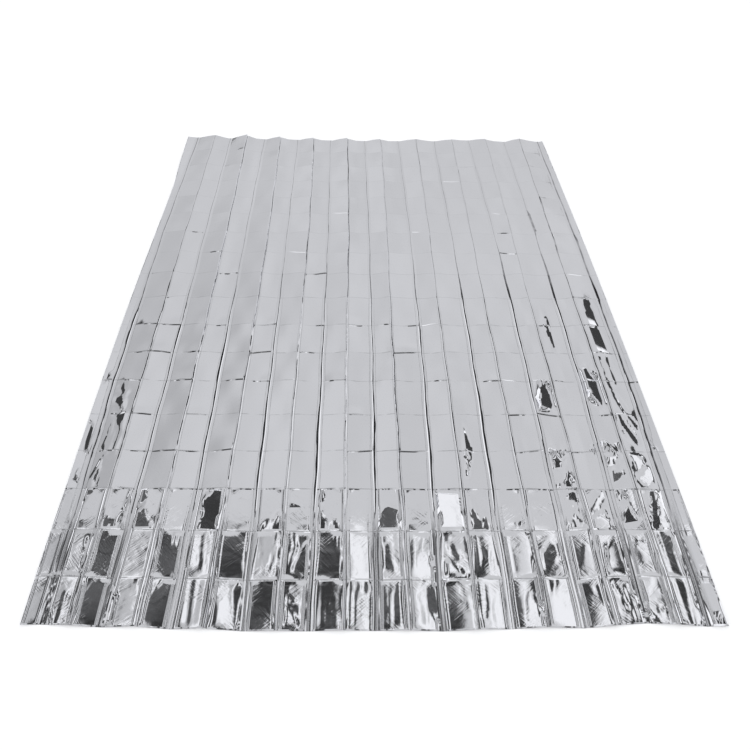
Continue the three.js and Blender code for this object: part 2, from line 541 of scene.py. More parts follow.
    def _ripples(self, wiring: Wiring, metres: object, across: object, ahead: object) -> bpy.types.NodeSocket:
        """Returns the normal of the film's fine ripples and of its slanting scratches.

        Args:
            wiring: the material's wiring.
            metres: the place on the cut film.
            across: its part across.
            ahead: its part ahead.

        Returns:
            The normal.
        """
        inputs = {"Vector": metres, "Scale": self.ripple_scale, "Detail": 5.0, "Roughness": 0.6}
        fine = wiring.node("ShaderNodeTexNoise", inputs).outputs[0]
        height = wiring.times(fine, self.ripple_height)
        depth = wiring.step(ahead, *self.scratch_depth)
        for turn, place in zip(self.scratch_turns, self.scratch_places):
            inputs = {"Vector": metres, "Rotation": (0.0, 0.0, turn),
                      "Scale": (1.0, self.scratch_stretch, 1.0)}
            turned = wiring.node("ShaderNodeMapping", inputs, vector_type="TEXTURE").outputs[0]
            inputs = {"Vector": metres, "Location": (place, 0.0, 0.0)}
            moved = wiring.node("ShaderNodeMapping", inputs).outputs[0]
            patches = wiring.step(wiring.noise(moved, self.scratch_patch_scale), *self.scratch_patches)
            scratch = wiring.times(wiring.noise(turned, self.scratch_scale), wiring.times(patches, depth))
            height = wiring.math("ADD", height, scratch)
        calm = wiring.step(self._aside(wiring, across), *self.ripple_calm)
        inputs = {"Strength": 1.0, "Distance": 1.0, "Height": wiring.times(height, calm)}
        return wiring.node("ShaderNodeBump", inputs).outputs[0]


# ---------------------------------------------------------------- the sheet

class Facing(Enum):
    """Where a flat spot of film is turned to.

    A value below 2 is a place across the soft boxes overhead, in half pitches from the
    middle of the nearest one. The wall, its bright foot, the dark gaps at its sides and the
    dark bar behind have values of their own.
    """

    WHITE = 0.0
    LIGHT = 0.34
    LIGHT_LEFT = 0.5
    DARK_LEFT = -0.5
    DARK = 1.0
    WALL = 9.0
    FOOT = 10.0
    LEFT_GAP = 11.0
    RIGHT_GAP = 12.0
    BEHIND = 13.0


WHITE, LIGHT, LIGHT_LEFT, DARK_LEFT, DARK, WALL, FOOT, LEFT_GAP, RIGHT_GAP, BEHIND = Facing


@dataclass(frozen=True)
class Crease:
    """One lengthwise crease, in millimetres.

    Attributes:
        drift: its sideways distance from its even place near, half way and far.
        reach: how far the sheet runs past its even ends there, near and far.
        height: the ridge's height, near and far.
        lean: 1 where its right flank is the steep one.
        line: how wide the dark side of its sharp line is at rows 0, 3, 6 and so on.
    """

    drift: tuple[float, float, float]
    reach: tuple[float, float]
    height: tuple[float, float]
    lean: int
    line: tuple[float, ...]


CREASES = (
    Crease((5, -14, -2), (-4, 8), (0, 0), 0, (1.0, 1.2, 3.0, 1.4, 1.2, 0.9, 0.8)),
    Crease((-6, -6, 4), (-2, 6), (8, 12), 0, (1.0, 1.5, 1.5, 2.0, 1.5, 1.3, 1.2)),
    Crease((-12, -10, -8), (2, 2), (0, 0), 0, (1.0, 2.0, 2.5, 1.6, 1.2, 1.1, 1.0)),
    Crease((-9, -4, -5), (0, 3), (7, 16), 1, (1.0, 1.5, 1.8, 1.4, 1.3, 1.2, 1.1)),
    Crease((-8, -8, -6), (6, -4), (0, 0), 0, (1.0, 2.0, 3.5, 1.4, 1.1, 1.1, 1.1)),
    Crease((-8, 1, -8), (4, -3), (9, 13), 1, (1.0, 2.0, 2.8, 1.4, 1.3, 1.2, 1.1)),
    Crease((-1, -4, -7), (10, -7), (0, 0), 0, (1.0, 3.0, 2.6, 1.3, 1.1, 1.1, 1.0)),
    Crease((-2, 0, -10), (9, -8), (7, 10), 1, (1.0, 2.5, 1.5, 1.3, 1.2, 1.1, 1.0)),
    Crease((-2, -2, -12), (10, -11), (0, 0), 0, (1.0, 3.5, 2.6, 1.2, 1.0, 0.8, 0.8)),
    Crease((-1, -1, -13), (8, -11), (8, 12), 1, (1.0, 1.3, 1.2, 1.4, 1.4, 1.1, 1.0)),
    Crease((-2, 0, -12), (9, -14), (0, 0), 0, (1.0, 3.0, 2.2, 1.2, 1.0, 0.8, 0.8)),
    Crease((-6, -9, -16), (8, -13), (9, 10), 1, (1.0, 1.6, 1.5, 1.2, 1.1, 1.0, 0.9)),
    Crease((-5, 2, -13), (10, -14), (0, 0), 0, (1.0, 3.4, 2.4, 1.4, 1.0, 0.8, 0.8)),
    Crease((-2, -2, -11), (6, -13), (8, 9), 0, (1.0, 2.4, 1.3, 1.1, 0.9, 1.0, 1.0)),
    Crease((1, 6, -3), (5, -13), (0, 0), 0, (1.0, 4.0, 3.4, 2.0, 1.2, 0.9, 0.8)),
    Crease((3, 4, -2), (1, -6), (7, 6), 0, (1.0, 2.2, 1.4, 1.3, 0.9, 0.8, 0.9)),
    Crease((10, 16, 1), (3, -3), (0, 0), 0, (1.0, 1.0, 2.8, 2.6, 0.8, 0.7, 0.7)),
    Crease((5, 5, 0), (-3, -3), (9, 8), 1, (1.0, 1.2, 2.2, 1.2, 1.1, 0.8, 0.9)),
    Crease((1, 18, 8), (-8, -15), (0, 0), 0, (1.0, 1.0, 2.8, 3.0, 1.5, 0.7, 0.8)),
    Crease((-5, 2, -3), (-5, -6), (8, 11), 0, (1.0, 1.6, 2.0, 1.6, 1.8, 1.6, 1.2)),
    Crease((-15, 12, 5), (-1, -12), (0, 0), 0, (1.0, 2.0, 2.4, 2.0, 2.0, 1.0, 0.9)),
)


# What the six stripes in the near end of a crease's band are turned to, from the left.
STRIPES = (
    (LIGHT, DARK, WHITE, DARK, LIGHT_LEFT, DARK),
    (LIGHT_LEFT, WHITE, DARK, LIGHT, DARK_LEFT, LIGHT),
    (DARK, LIGHT, DARK, WHITE, LIGHT, LIGHT_LEFT),
    (LIGHT, DARK_LEFT, LIGHT, WHITE, DARK, LIGHT),
    (LIGHT_LEFT, LIGHT, WHITE, DARK, LIGHT, DARK),
)


@dataclass(frozen=True)
class Nip:
    """A stretch where a crease's sharp line is wider, in millimetres.

    Attributes:
        crease: the crease, from the left.
        start: where it starts, from the sheet's near left corner.
        end: where it ends.
        width: how much wider the dark side is.
    """

    crease: int
    start: float
    end: float
    width: float


@dataclass(frozen=True)
class CrossFold:
    """A small step in the film along a cross crease, within one strip.

    Attributes:
        row: the cross crease, in panels from the near end.
        strip: the strip, from the left edge.
        facing: what the step is turned to.
        slant: how much further ahead its right end lies than its left one, in millimetres.
        start: where it starts, as a share of the strip.
        end: where it ends.
        turn: how much of the way it is turned.
    """

    row: int
    strip: int
    facing: Facing
    slant: float = 0.0
    start: float = 0.05
    end: float = 0.95
    turn: float = 1.0


@dataclass(frozen=True)
class Facet:
    """A flat spot of film between small folds.

    Attributes:
        corners: its outline, in millimetres from the sheet's near left corner.
        facing: what it is turned to.
        bend: how much its slope across changes from the middle to either side.
        twist: how much its slope across changes from the middle to the far end.
        soft: how wide its folded edges are, in millimetres, or 0 where they are crisp.
    """

    corners: tuple[tuple[float, float], ...]
    facing: Facing
    bend: float = 0.0
    twist: float = 0.0
    soft: float = 0.0


CRISP, FOLDED = 0.0, 3.5


def facets(soft: float, *rows: tuple) -> tuple[Facet, ...]:
    """Makes facets out of short rows.

    Args:
        soft: how wide their folded edges are, where a row doesn't say.
        rows: what each is turned to, its bend, its outline as x, y, x, y and so on, and how
            wide its edges are where that differs.

    Returns:
        The facets.
    """
    return tuple(Facet(tuple(zip(outline[::2], outline[1::2])), facing, bend, soft=own[0] if own else soft)
                 for facing, bend, outline, *own in rows)


def cross_folds(facing: Facing, *rows: tuple) -> tuple[CrossFold, ...]:
    """Makes steps that are all turned to the same thing out of short rows.

    Args:
        facing: what they are turned to.
        rows: the cross crease, the strip, the slant, the start, the end and maybe the turn.

    Returns:
        The steps.
    """
    return tuple(CrossFold(row, strip, facing, *rest) for row, strip, *rest in rows)


@dataclass(frozen=True)
class Crimp:
    """A short straight fold, in millimetres from the sheet's near left corner.

    Attributes:
        start: where it starts.
        end: where it ends.
        height: how far it stands up, or down where it is negative.
        left: how wide its left flank is, seen from its start.
        right: how wide its right flank is.
    """

    start: tuple[float, float]
    end: tuple[float, float]
    height: float
    left: float
    right: float


@dataclass(frozen=True)
class Zone:
    """A stretch of the sheet's net.

    Attributes:
        rows: the panels that it runs from and to.
        band_lines: its lines beside a lengthwise crease, as shares of a strip.
        flank_parts: its even parts between them.
        panel_parts: its even parts along a panel, between the lines beside its ends.
        fine_strips: the strips with finer parts.
        fine_parts: their even parts.
    """

    rows: tuple[int, int]
    band_lines: tuple[float, ...]
    flank_parts: int
    panel_parts: int
    fine_strips: tuple[int, ...] = ()
    fine_parts: int = 0


ZONES = (
    Zone((0, 2), (0.04, 0.10, 0.16), 14, 17),
    Zone((2, 3), (0.04, 0.10, 0.16), 14, 13),
    Zone((3, 6), (0.04, 0.16), 4, 13, (0, 1, 14, 16, 17, 18, 19, 20), 12),
    Zone((6, 9), (0.04, 0.16), 4, 8, (17, 18, 19, 20), 10),
    Zone((9, 18), (0.04, 0.16), 4, 3),
)


@dataclass
class SheetLines:
    """Where the creases, rows and edges of the sheet lie, in millimetres from its middle."""

    strip_width: float = 76.0
    left_margin: float = 40.0
    right_margin: float = 30.0
    panel_length: float = 116.0
    panel_count: int = 18
    line_kink: float = 2.5
    ridge_unevenness: float = 0.16
    edge_lift: float = 3.0
    cross_offsets: tuple[float, ...] = (0, -6, -4, -6, -8, -3, 4, 0, 2, 14, 19, 16, 17, 20, 12, 10, 8, 6, 0)
    reach_parts: int = 6
    left_corner_reach: tuple[float, float] = (-3, 10)
    right_corner_reach: tuple[float, float] = (-2, -13)
    left_bow: tuple[float, ...] = (1, 5, 6, 9, 10, 10, 8, 4, 0, -3, 5, 7)
    right_bow: tuple[float, ...] = (1, 6, 8, 9, 10, 10, 10, 9, 7, 4, 1, -2)

    def __post_init__(self) -> None:
        """Works out the sheet's even size."""
        self.strip_count = len(CREASES) + 1
        self.width = self.left_margin + (len(CREASES) - 1) * self.strip_width + self.right_margin
        self.length = self.panel_count * self.panel_length
        self.half_rows = np.arange(0, 2 * self.panel_count + 1) / 2

    def crease_x(self, crease: int, row: np.ndarray) -> np.ndarray:
        """Places a crease across.

        Args:
            crease: the crease, from the left.
            row: the rows.

        Returns:
            Its place at the rows.
        """
        near, middle, far = CREASES[crease].drift
        even = self.left_margin + crease * self.strip_width - self.width / 2
        drift = along((near, middle, middle, far), self.half_rows / self.panel_count)
        line = even + drift + self.line_kink * unevenness(crease, self.half_rows)
        return np.interp(row, self.half_rows, line)

    def ridge_height(self, crease: int, row: np.ndarray) -> np.ndarray:
        """Gives a ridge its height.

        Args:
            crease: the crease, from the left.
            row: the rows.

        Returns:
            Its height at the rows.
        """
        height = along(CREASES[crease].height, self.half_rows / self.panel_count)
        height = height * (1 + self.ridge_unevenness * unevenness(crease + 3, 2 * self.half_rows))
        return np.interp(row, self.half_rows, height)

    def row_y(self, row: np.ndarray, reach: tuple[float, float]) -> np.ndarray:
        """Places rows ahead.

        Args:
            row: the rows.
            reach: how far the sheet's ends reach there, near and far.

        Returns:
            Their places.
        """
        share = row / self.panel_count
        even = row * self.panel_length - self.length / 2 + along(self.cross_offsets, share)
        near_pull = np.maximum(0.0, 1 - self.reach_parts * share)
        far_pull = np.maximum(0.0, self.reach_parts * share - (self.reach_parts - 1))
        return even - reach[0] * near_pull + reach[1] * far_pull

    def edge_x(self, side: int, row: np.ndarray) -> np.ndarray:
        """Returns the left (-1) or right (1) edge's place across at some rows."""
        bow = self.left_bow if side < 0 else self.right_bow
        return side * (self.width / 2 + along(bow, row / self.panel_count))


@dataclass
class FoilSheet:
    """The one sheet of film, creased in a grid, lying on the floor, in millimetres and panels.

    Its near facets are turned so that the camera sees given parts of the studio in them.
    """

    camera: StudioCamera
    studio: Studio
    lines: SheetLines = field(default_factory=SheetLines)
    film_thickness: float = 0.3
    cut_size: tuple[float, float] = (1600.0, 2100.0)
    cut_share: float = 0.994
    foot_half_width: float = 9.0
    ridge_half_width: float = 5.0
    crest_drop: float = 0.35
    flank_drop: float = 0.18
    near_ridge_share: float = 0.6
    near_ridge_rows: tuple[float, float] = (2, 6)
    panel_rise: float = 2.5
    panel_rise_rows: tuple[float, float] = (2.0, 7.0)
    panel_calm_rows: tuple[float, float] = (8.0, 11.0)
    panel_calm: float = 0.55
    lowest: float = 0.35
    foot_rise: float = 0.25
    foot_round: float = 0.04
    band_share: float = 0.16
    fold_share: float = 0.03
    line_share: float = 0.04
    stripe_share: float = 0.10
    tolerance: float = 0.001
    same_line: float = 1e-6
    stripes_row: float = 1.0
    stripes_end: tuple[float, float] = (2.2, 3.2)
    line_limit: float = 0.7
    line_least: float = 0.8
    line_unevenness: float = 0.3
    line_wide: float = 0.5
    line_wide_rows: tuple[float, ...] = (2.5, 4.0, 6.0, 10.0)
    line_start_rows: tuple[float, float] = (1.8, 2.6)
    line_far_rows: tuple[float, float] = (8.0, 10.5)
    line_far_wide: float = 0.5
    line_far_low: float = 0.3
    nip_taper: float = 12.0
    bright_aside: float = 3.2
    foot_ahead: float = 5.0
    bar_ahead: float = -0.45
    wall_ahead: float = 0.49
    boxes_ahead: tuple[float, float] = (0.37, 0.33)
    fold_decays: tuple[float, float] = (0.4, 0.2)
    fold_decay_row: int = 4
    fold_tapers: tuple[float, float] = (0.2, 0.06)
    crisp_reach: float = 12.0
    crisp_edge: float = 0.05
    least_weight: float = 0.001
    steep_feather: float = 9.0
    plain_feather: float = 0.04
    panel_soft: float = 5.0
    fold_bar_half_width: float = 4.5
    fold_bar_edge: float = 2.0

    def __post_init__(self) -> None:
        """Works out where the camera and the sheet's middle are, in millimetres."""
        self.eye = np.array(self.camera.place) / MM
        self.middle = np.array((self.lines.width, self.lines.length)) / 2

    def build(self) -> bpy.types.Object:
        """Returns:
            The sheet's object.
        """
        sheet, strip, row, room = self._grid()
        self._shape(sheet, strip, row, room)
        self._thicken(sheet)
        sheet.data.materials.append(SilverFilm().build())
        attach(sheet, "root")
        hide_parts("foil_sheet")
        return sheet

    def _grid(self) -> tuple[bpy.types.Object, np.ndarray, np.ndarray, np.ndarray]:
        """Makes the net of the sheet, finer towards the near end, with no places yet.

        Returns:
            The object, each vertex's place in strips across and panels ahead, and the room
            between the net's lines there, across and ahead, in millimetres.
        """
        strips, rows, faces, rooms = [], [], [], []
        count, last = 0, None
        for zone in ZONES:
            plain = self._cell(zone.band_lines, zone.flank_parts)
            fine = self._cell(zone.band_lines, zone.fine_parts)
            cells = [number + (fine if number in zone.fine_strips else plain)
                     for number in range(self.lines.strip_count)]
            columns = np.append(np.concatenate(cells), self.lines.strip_count)
            panel = self._cell((self.fold_share,), zone.panel_parts)
            ahead = np.concatenate([number + panel for number in range(*zone.rows)] + [zone.rows[1:]])
            room_across = np.gradient(columns) * self.lines.strip_width
            room_ahead = np.gradient(ahead) * self.lines.panel_length
            for line, room in list(zip(ahead, room_ahead))[(1 if last else 0):]:
                rooms.append(np.stack((room_across, np.full(len(columns), room)), axis=1))
                names = np.arange(count, count + len(columns))
                strips.append(columns)
                rows.append(np.full(len(columns), line))
                if last is not None:
                    faces += self._joined(last, (columns, names))
                last = (columns, names)
                count += len(columns)
        mesh = bpy.data.meshes.new("foil_film")
        mesh.from_pydata([(0.0, 0.0, 0.0)] * count, [], faces)
        sheet = bpy.data.objects.new("foil_film", mesh)
        bpy.context.scene.collection.objects.link(sheet)
        return sheet, np.concatenate(strips), np.concatenate(rows), np.concatenate(rooms)

    @staticmethod
    def _cell(edges: tuple[float, ...], parts: int) -> np.ndarray:
        """Returns the net's lines over one cell, without the one at its end.

        Args:
            edges: the places of its close lines at both ends, as shares of the cell.
            parts: how many even parts lie between them.

        Returns:
            The lines' places, as shares of the cell.
        """
        middle = np.linspace(edges[-1], 1 - edges[-1], parts + 1)
        return np.concatenate(((0.0, *edges[:-1]), middle, 1 - np.array(edges[:-1])[::-1]))

    @staticmethod
    def _joined(near: tuple, far: tuple) -> list[tuple[int, ...]]:
        """Joins two lines of vertices, which may be of different counts.

        Args:
            near: the near line's places and vertices.
            far: the far line's.

        Returns:
            The faces between them.
        """
        near_places, near_names = near
        far_places, far_names = far
        if len(near_places) == len(far_places):
            return [(int(near_names[i]), int(near_names[i + 1]), int(far_names[i + 1]), int(far_names[i]))
                    for i in range(len(near_names) - 1)]
        faces, i, j = [], 0, 0
        while i + 1 < len(near_names) or j + 1 < len(far_names):
            step_near = near_places[i + 1] if i + 1 < len(near_names) else math.inf
            step_far = far_places[j + 1] if j + 1 < len(far_names) else math.inf
            if step_near <= step_far:
                faces.append((int(near_names[i]), int(near_names[i + 1]), int(far_names[j])))
                i += 1
            else:
                faces.append((int(near_names[i]), int(far_names[j + 1]), int(far_names[j])))
                j += 1
        return faces

    def _shape(self, sheet: bpy.types.Object, strip: np.ndarray, row: np.ndarray,
               room: np.ndarray) -> None:
        """Moves every vertex of the net to its place, and keeps its place on the cut film.

        Args:
            sheet: the net.
            strip: the vertices' places across, in strips.
            row: their places ahead, in panels.
            room: the room between the net's lines there.
        """
        mesh = sheet.data
        x, y, z = self._folded(strip, row)
        aside = np.abs(strip - np.rint(strip))
        off_band = aside[:, None] > self.band_share + self.tolerance
        x, y, z, border = self._faceted(x, y, z, np.where(off_band, room, 0.0))
        y, z = self._cross_folded(strip, row, x, y, z)
        z = self._crimped(x, y, z)
        z = self.lowest + self._kept_up(z + self.foot_rise)
        places = np.stack((x, y, z), axis=1) * MM
        self._map_cut(mesh, strip, row)
        mesh.vertices.foreach_set("co", places.ravel())
        mesh.update()
        self._mark_sharp(mesh, strip, row, border)

    def _mark_sharp(self, mesh: bpy.types.Mesh, strip: np.ndarray, row: np.ndarray,
                    border: np.ndarray) -> None:
        """Marks the creases, the lines beside them and the crisp facets' outlines as sharp edges.

        Args:
            mesh: the sheet's mesh.
            strip: the vertices' places across, in strips.
            row: their places ahead, in panels.
            border: the crisp facet whose outline each lies on, or -1.
        """
        ends = np.empty(2 * len(mesh.edges), dtype=np.int64)
        mesh.edges.foreach_get("vertices", ends)
        first, second = ends[0::2], ends[1::2]
        aside = np.abs(strip - np.rint(strip))
        shares = (0.0, self.line_share, self.stripe_share, self.band_share)
        beside = np.min([np.abs(aside - share) for share in shares], axis=0)
        on_fold = np.abs(row - np.rint(row)) < self.fold_share + self.tolerance
        same_strip = np.abs(strip[first] - strip[second]) < self.same_line
        same_row = np.abs(row[first] - row[second]) < self.same_line
        lengthwise = same_strip & (beside[first] < self.same_line)
        crosswise = same_row & on_fold[first]
        sharp = mesh.attributes.new("sharp_edge", "BOOLEAN", "EDGE")
        outline = (border[first] >= 0) & (border[first] == border[second])
        sharp.data.foreach_set("value", lengthwise | crosswise | outline)

    def _kept_up(self, height: np.ndarray) -> np.ndarray:
        """Bends heights below zero up to it smoothly."""
        return (height + np.sqrt(height * height + self.foot_round)) / 2

    def _map_cut(self, mesh: bpy.types.Mesh, strip: np.ndarray, row: np.ndarray) -> None:
        """Stores each vertex's place on the cut film as a UV map.

        Args:
            mesh: the sheet's mesh.
            strip: the vertices' places across, in strips.
            row: their places ahead, in panels.
        """
        lines = self.lines
        across = np.concatenate(([0.0], lines.left_margin + np.arange(len(CREASES)) * lines.strip_width,
                                 [lines.width]))
        film_x = np.interp(strip, np.arange(len(across)), across) / self.cut_size[0]
        film_y = row * lines.panel_length / self.cut_size[1]
        corners = np.empty(len(mesh.loops), dtype=np.int64)
        mesh.loops.foreach_get("vertex_index", corners)
        layer = mesh.uv_layers.new(name="film_cut")
        pairs = np.stack((film_x[corners], film_y[corners]), axis=1)
        layer.data.foreach_set("uv", pairs.ravel())

    def _folded(self, strip: np.ndarray, row: np.ndarray) -> tuple[np.ndarray, ...]:
        """Returns the places of grid points on the creased sheet, in millimetres.

        Args:
            strip: the points' places across, in strips from the left edge.
            row: the points' places ahead, in panels from the near end.

        Returns:
            Across, ahead and height.
        """
        lines = self.lines
        index = np.clip(np.floor(strip).astype(int), 0, lines.strip_count - 1)
        share = strip - index
        x, y, z = np.zeros_like(strip), np.zeros_like(strip), np.zeros_like(strip)
        for number in range(lines.strip_count):
            here = index == number
            rows, part = row[here], share[here]
            left = self._side(number - 1, rows)
            right = self._side(number, rows)
            band = self.band_share
            line_left, line_right = self._line(number - 1, rows, 1), self._line(number, rows, -1)
            off_left = self._off_crease(part, left[3], line_left[0])
            off_right = self._off_crease(1 - part, right[3], line_right[0])
            inner_left, inner_right = left[0] + left[3], right[0] - right[3]
            flank = np.clip((part - band) / (1 - 2 * band), 0.0, 1.0)
            place = inner_left + (inner_right - inner_left) * flank
            place = np.where(part < band, left[0] + off_left, place)
            place = np.where(part > 1 - band, right[0] - off_right, place)
            x[here] = place
            y[here] = left[1] + (right[1] - left[1]) * part
            height = self._flank(number, rows, flank, left[2], right[2])
            height += np.where(part < band, self._raised(off_left, *line_left), 0.0)
            height += np.where(part > 1 - band, self._raised(off_right, *line_right), 0.0)
            height += self._striped(number, rows, part)
            z[here] = height
        return x, y, z

    def _line(self, crease: int, row: np.ndarray, side: int) -> tuple[np.ndarray, np.ndarray]:
        """Returns the width and height of one side of a crease's sharp line.

        Args:
            crease: the crease, from the left.
            row: the rows.
            side: -1 for its left side, 1 for its right one.

        Returns:
            How wide that side is and how high the line stands.
        """
        if not 0 <= crease < len(CREASES):
            return np.full_like(row, 1.0), np.zeros_like(row)
        x, y, _, band = self._side(crease, row)
        width = along(CREASES[crease].line, row / self.lines.panel_count)
        width = width * (1 + self.line_unevenness * unevenness(crease + 1.5, 3.1 * row))
        rise, full, fall, end = self.line_wide_rows
        width = width * (1 + self.line_wide * smooth_step(rise, full, row) * smooth_step(-end, -fall, -row))
        taper = self.nip_taper
        for nip in NIPS:
            if nip.crease == crease:
                start, end = (place * self.cut_share - self.middle[1] for place in (nip.start, nip.end))
                begun = smooth_step(start - taper, start + taper, y)
                width += nip.width * begun * smooth_step(-end - taper, taper - end, -y)
        width = np.minimum(width, self.line_limit * band)
        across = (x - self.eye[0]) / self.eye[2]
        height = width * np.abs(self._tilt(np.abs(across), np.mean(self.studio.side_gap)))
        if np.mean(across) * side < 0:
            width = height / np.abs(self._tilt(np.abs(across), -self.bright_aside))
        far = smooth_step(*self.line_far_rows, row)
        kept = smooth_step(*self.line_start_rows, row) * (1 - self.line_far_low * far)
        wider = 1 + self.line_far_wide * far
        return np.maximum(width * wider, self.line_least), height * wider * kept

    def _stripes(self, crease: int) -> np.ndarray:
        """Returns the heights of the stripes' edges in the near end of a crease's band.

        Args:
            crease: the crease, from the left.

        Returns:
            The heights at the seven lines of the net from the band's left edge to its right
            one, in millimetres.
        """
        if not 0 <= crease < len(CREASES):
            return np.zeros(7)
        row = np.array((self.stripes_row,))
        x, y, _, band = (float(part[0]) for part in self._side(crease, row))
        shares = np.array((self.line_share, self.stripe_share, self.band_share))
        left, right = (self._off_crease(shares, band, float(self._line(crease, row, side)[0][0]))
                       for side in (-1, 1))
        widths = np.diff(np.concatenate((-left[::-1], (0.0,), right)))
        facings = STRIPES[crease % len(STRIPES)]
        slopes = [self._aim(x, y, facing)[0] for facing in facings]
        heights = np.concatenate(((0.0,), np.cumsum(np.array(slopes) * widths)))
        return heights - (heights[0] + heights[-1]) / 2

    def _striped(self, number: int, row: np.ndarray, part: np.ndarray) -> np.ndarray:
        """Returns how far the stripes of a strip's two bands lift it towards its near end.

        Args:
            number: the strip, from the left edge.
            row: the points' rows.
            part: their shares of the strip.

        Returns:
            The lifts, which run evenly between the bands.
        """
        left, right = self._stripes(number - 1)[3:], self._stripes(number)[:4]
        shares = (0.0, self.line_share, self.stripe_share, self.band_share)
        places = (*shares, *(1 - share for share in shares[::-1]))
        kept = smooth_step(-self.stripes_end[1], -self.stripes_end[0], -row)
        return kept * np.interp(part, places, np.concatenate((left, right)))

    def _off_crease(self, part: np.ndarray, band: np.ndarray, line: np.ndarray) -> np.ndarray:
        """Returns how far the net's points beside a crease lie from it.

        Args:
            part: their shares of the strip.
            band: the half width of the crease's band.
            line: how wide this side of its sharp line is.

        Returns:
            The distances, no more than the band's half width where they lie on it.
        """
        inner = line * part / self.line_share
        outer = line + (band - line) * (part - self.line_share) / (self.band_share - self.line_share)
        return np.where(part < self.line_share, inner, outer)

    def _raised(self, off: np.ndarray, width: np.ndarray, height: np.ndarray) -> np.ndarray:
        """Returns how far a crease's sharp line lifts the film at a distance from it."""
        return height * np.clip(1 - off / width, 0.0, 1.0)

    def _side(self, crease: int, row: np.ndarray) -> tuple[np.ndarray, ...]:
        """Places one side of a strip.

        Args:
            crease: the crease there, from the left, or the one past an edge.
            row: the rows.

        Returns:
            Its place across, its place ahead, its height and the half width of its band.
        """
        lines = self.lines
        level = np.zeros_like(row)
        if not 0 <= crease < len(CREASES):
            side, reach = (-1, lines.left_corner_reach) if crease < 0 else (1, lines.right_corner_reach)
            return lines.edge_x(side, row), lines.row_y(row, reach), level + lines.edge_lift, level
        x, y = lines.crease_x(crease, row), lines.row_y(row, CREASES[crease].reach)
        if crease % 2 == 0:
            return x, y, level, level + self.foot_half_width
        return x, y, lines.ridge_height(crease, row) * self._near_share(row), level + self.ridge_half_width

    def _near_share(self, row: np.ndarray) -> np.ndarray:
        """Flattens the ridges towards the near end.

        Args:
            row: the rows.

        Returns:
            How much of their height they keep.
        """
        start, end = self.near_ridge_rows
        rise = np.clip((row - start) / (end - start), 0.0, 1.0)
        return self.near_ridge_share + (1 - self.near_ridge_share) * rise

    def _flank(self, number: int, row: np.ndarray, flank: np.ndarray,
               left: np.ndarray, right: np.ndarray) -> np.ndarray:
        """Returns the heights across one strip.

        Args:
            number: the strip, from the left edge.
            row: the points' rows.
            flank: their shares of the way from the left band to the right one.
            left: the height at the left band.
            right: the height at the right band.

        Returns:
            The points' heights.
        """
        ridge = number - 1 if number % 2 == 0 else number
        lean = CREASES[ridge].lean if 0 <= ridge < len(CREASES) else 0
        top = np.maximum(left, right)
        if number % 2 == 0:
            left = left * (1 - self.crest_drop * lean)
        even = left + (right - left) * flank
        tent = 1 - np.abs(2 * flank - 1)
        drop = self.flank_drop * lean * top * tent if number % 2 == 0 else 0.0
        turn = np.where((number - 1 + np.rint(row)) % 2 == 0, 1.0, -1.0)
        calm = 1 - self.panel_calm * smooth_step(*self.panel_calm_rows, row)
        rise = self.panel_rise * smooth_step(*self.panel_rise_rows, row) * calm
        fold = turn * rise * (1 - 2 * np.abs(row - np.rint(row))) * tent
        inside = 1.0 if 0 < number < self.lines.strip_count - 1 else 0.0
        return even - drop + inside * fold

    def _aim(self, x: float, y: float, facing: Facing, z: float = 5.0) -> tuple[float, float]:
        """Returns the slopes of film at a place that mirrors what it faces to the camera.

        Args:
            x: the place across, in millimetres.
            y: the place ahead.
            facing: what is mirrored.
            z: the place's height.

        Returns:
            The slopes across and ahead.
        """
        view = self.eye - np.array((x, y, z))
        across, ahead = -view[0] / view[2], -view[1] / view[2]
        if facing is FOOT:
            return 0.0, float(self._tilt(ahead, self.foot_ahead))
        if facing is BEHIND:
            return 0.0, float(self._tilt(ahead, self.bar_ahead))
        if facing in (LEFT_GAP, RIGHT_GAP):
            gap = float(np.mean(self.studio.side_gap))
            return float(self._tilt(across, gap if facing is RIGHT_GAP else -gap)), 0.0
        if facing is WALL:
            target = np.array((across, max(ahead, self.wall_ahead), 1.0))
        else:
            pitch, phase = self.studio.box_pitch, facing.value * self.studio.box_pitch / 2
            nearest = round((across - phase) / pitch) * pitch + phase
            limit = self.boxes_ahead[0 if ahead < self.studio.wall_start else 1]
            target = np.array((nearest, min(ahead, limit), 1.0))
        half = view / np.linalg.norm(view) + target / np.linalg.norm(target)
        return -half[0] / half[2], -half[1] / half[2]

    @staticmethod
    def _tilt(level: np.ndarray, target: float) -> np.ndarray:
        """Returns the slope of film that turns the mirrored direction from level to target."""
        return -np.tan((np.arctan(target) - np.arctan(level)) / 2)

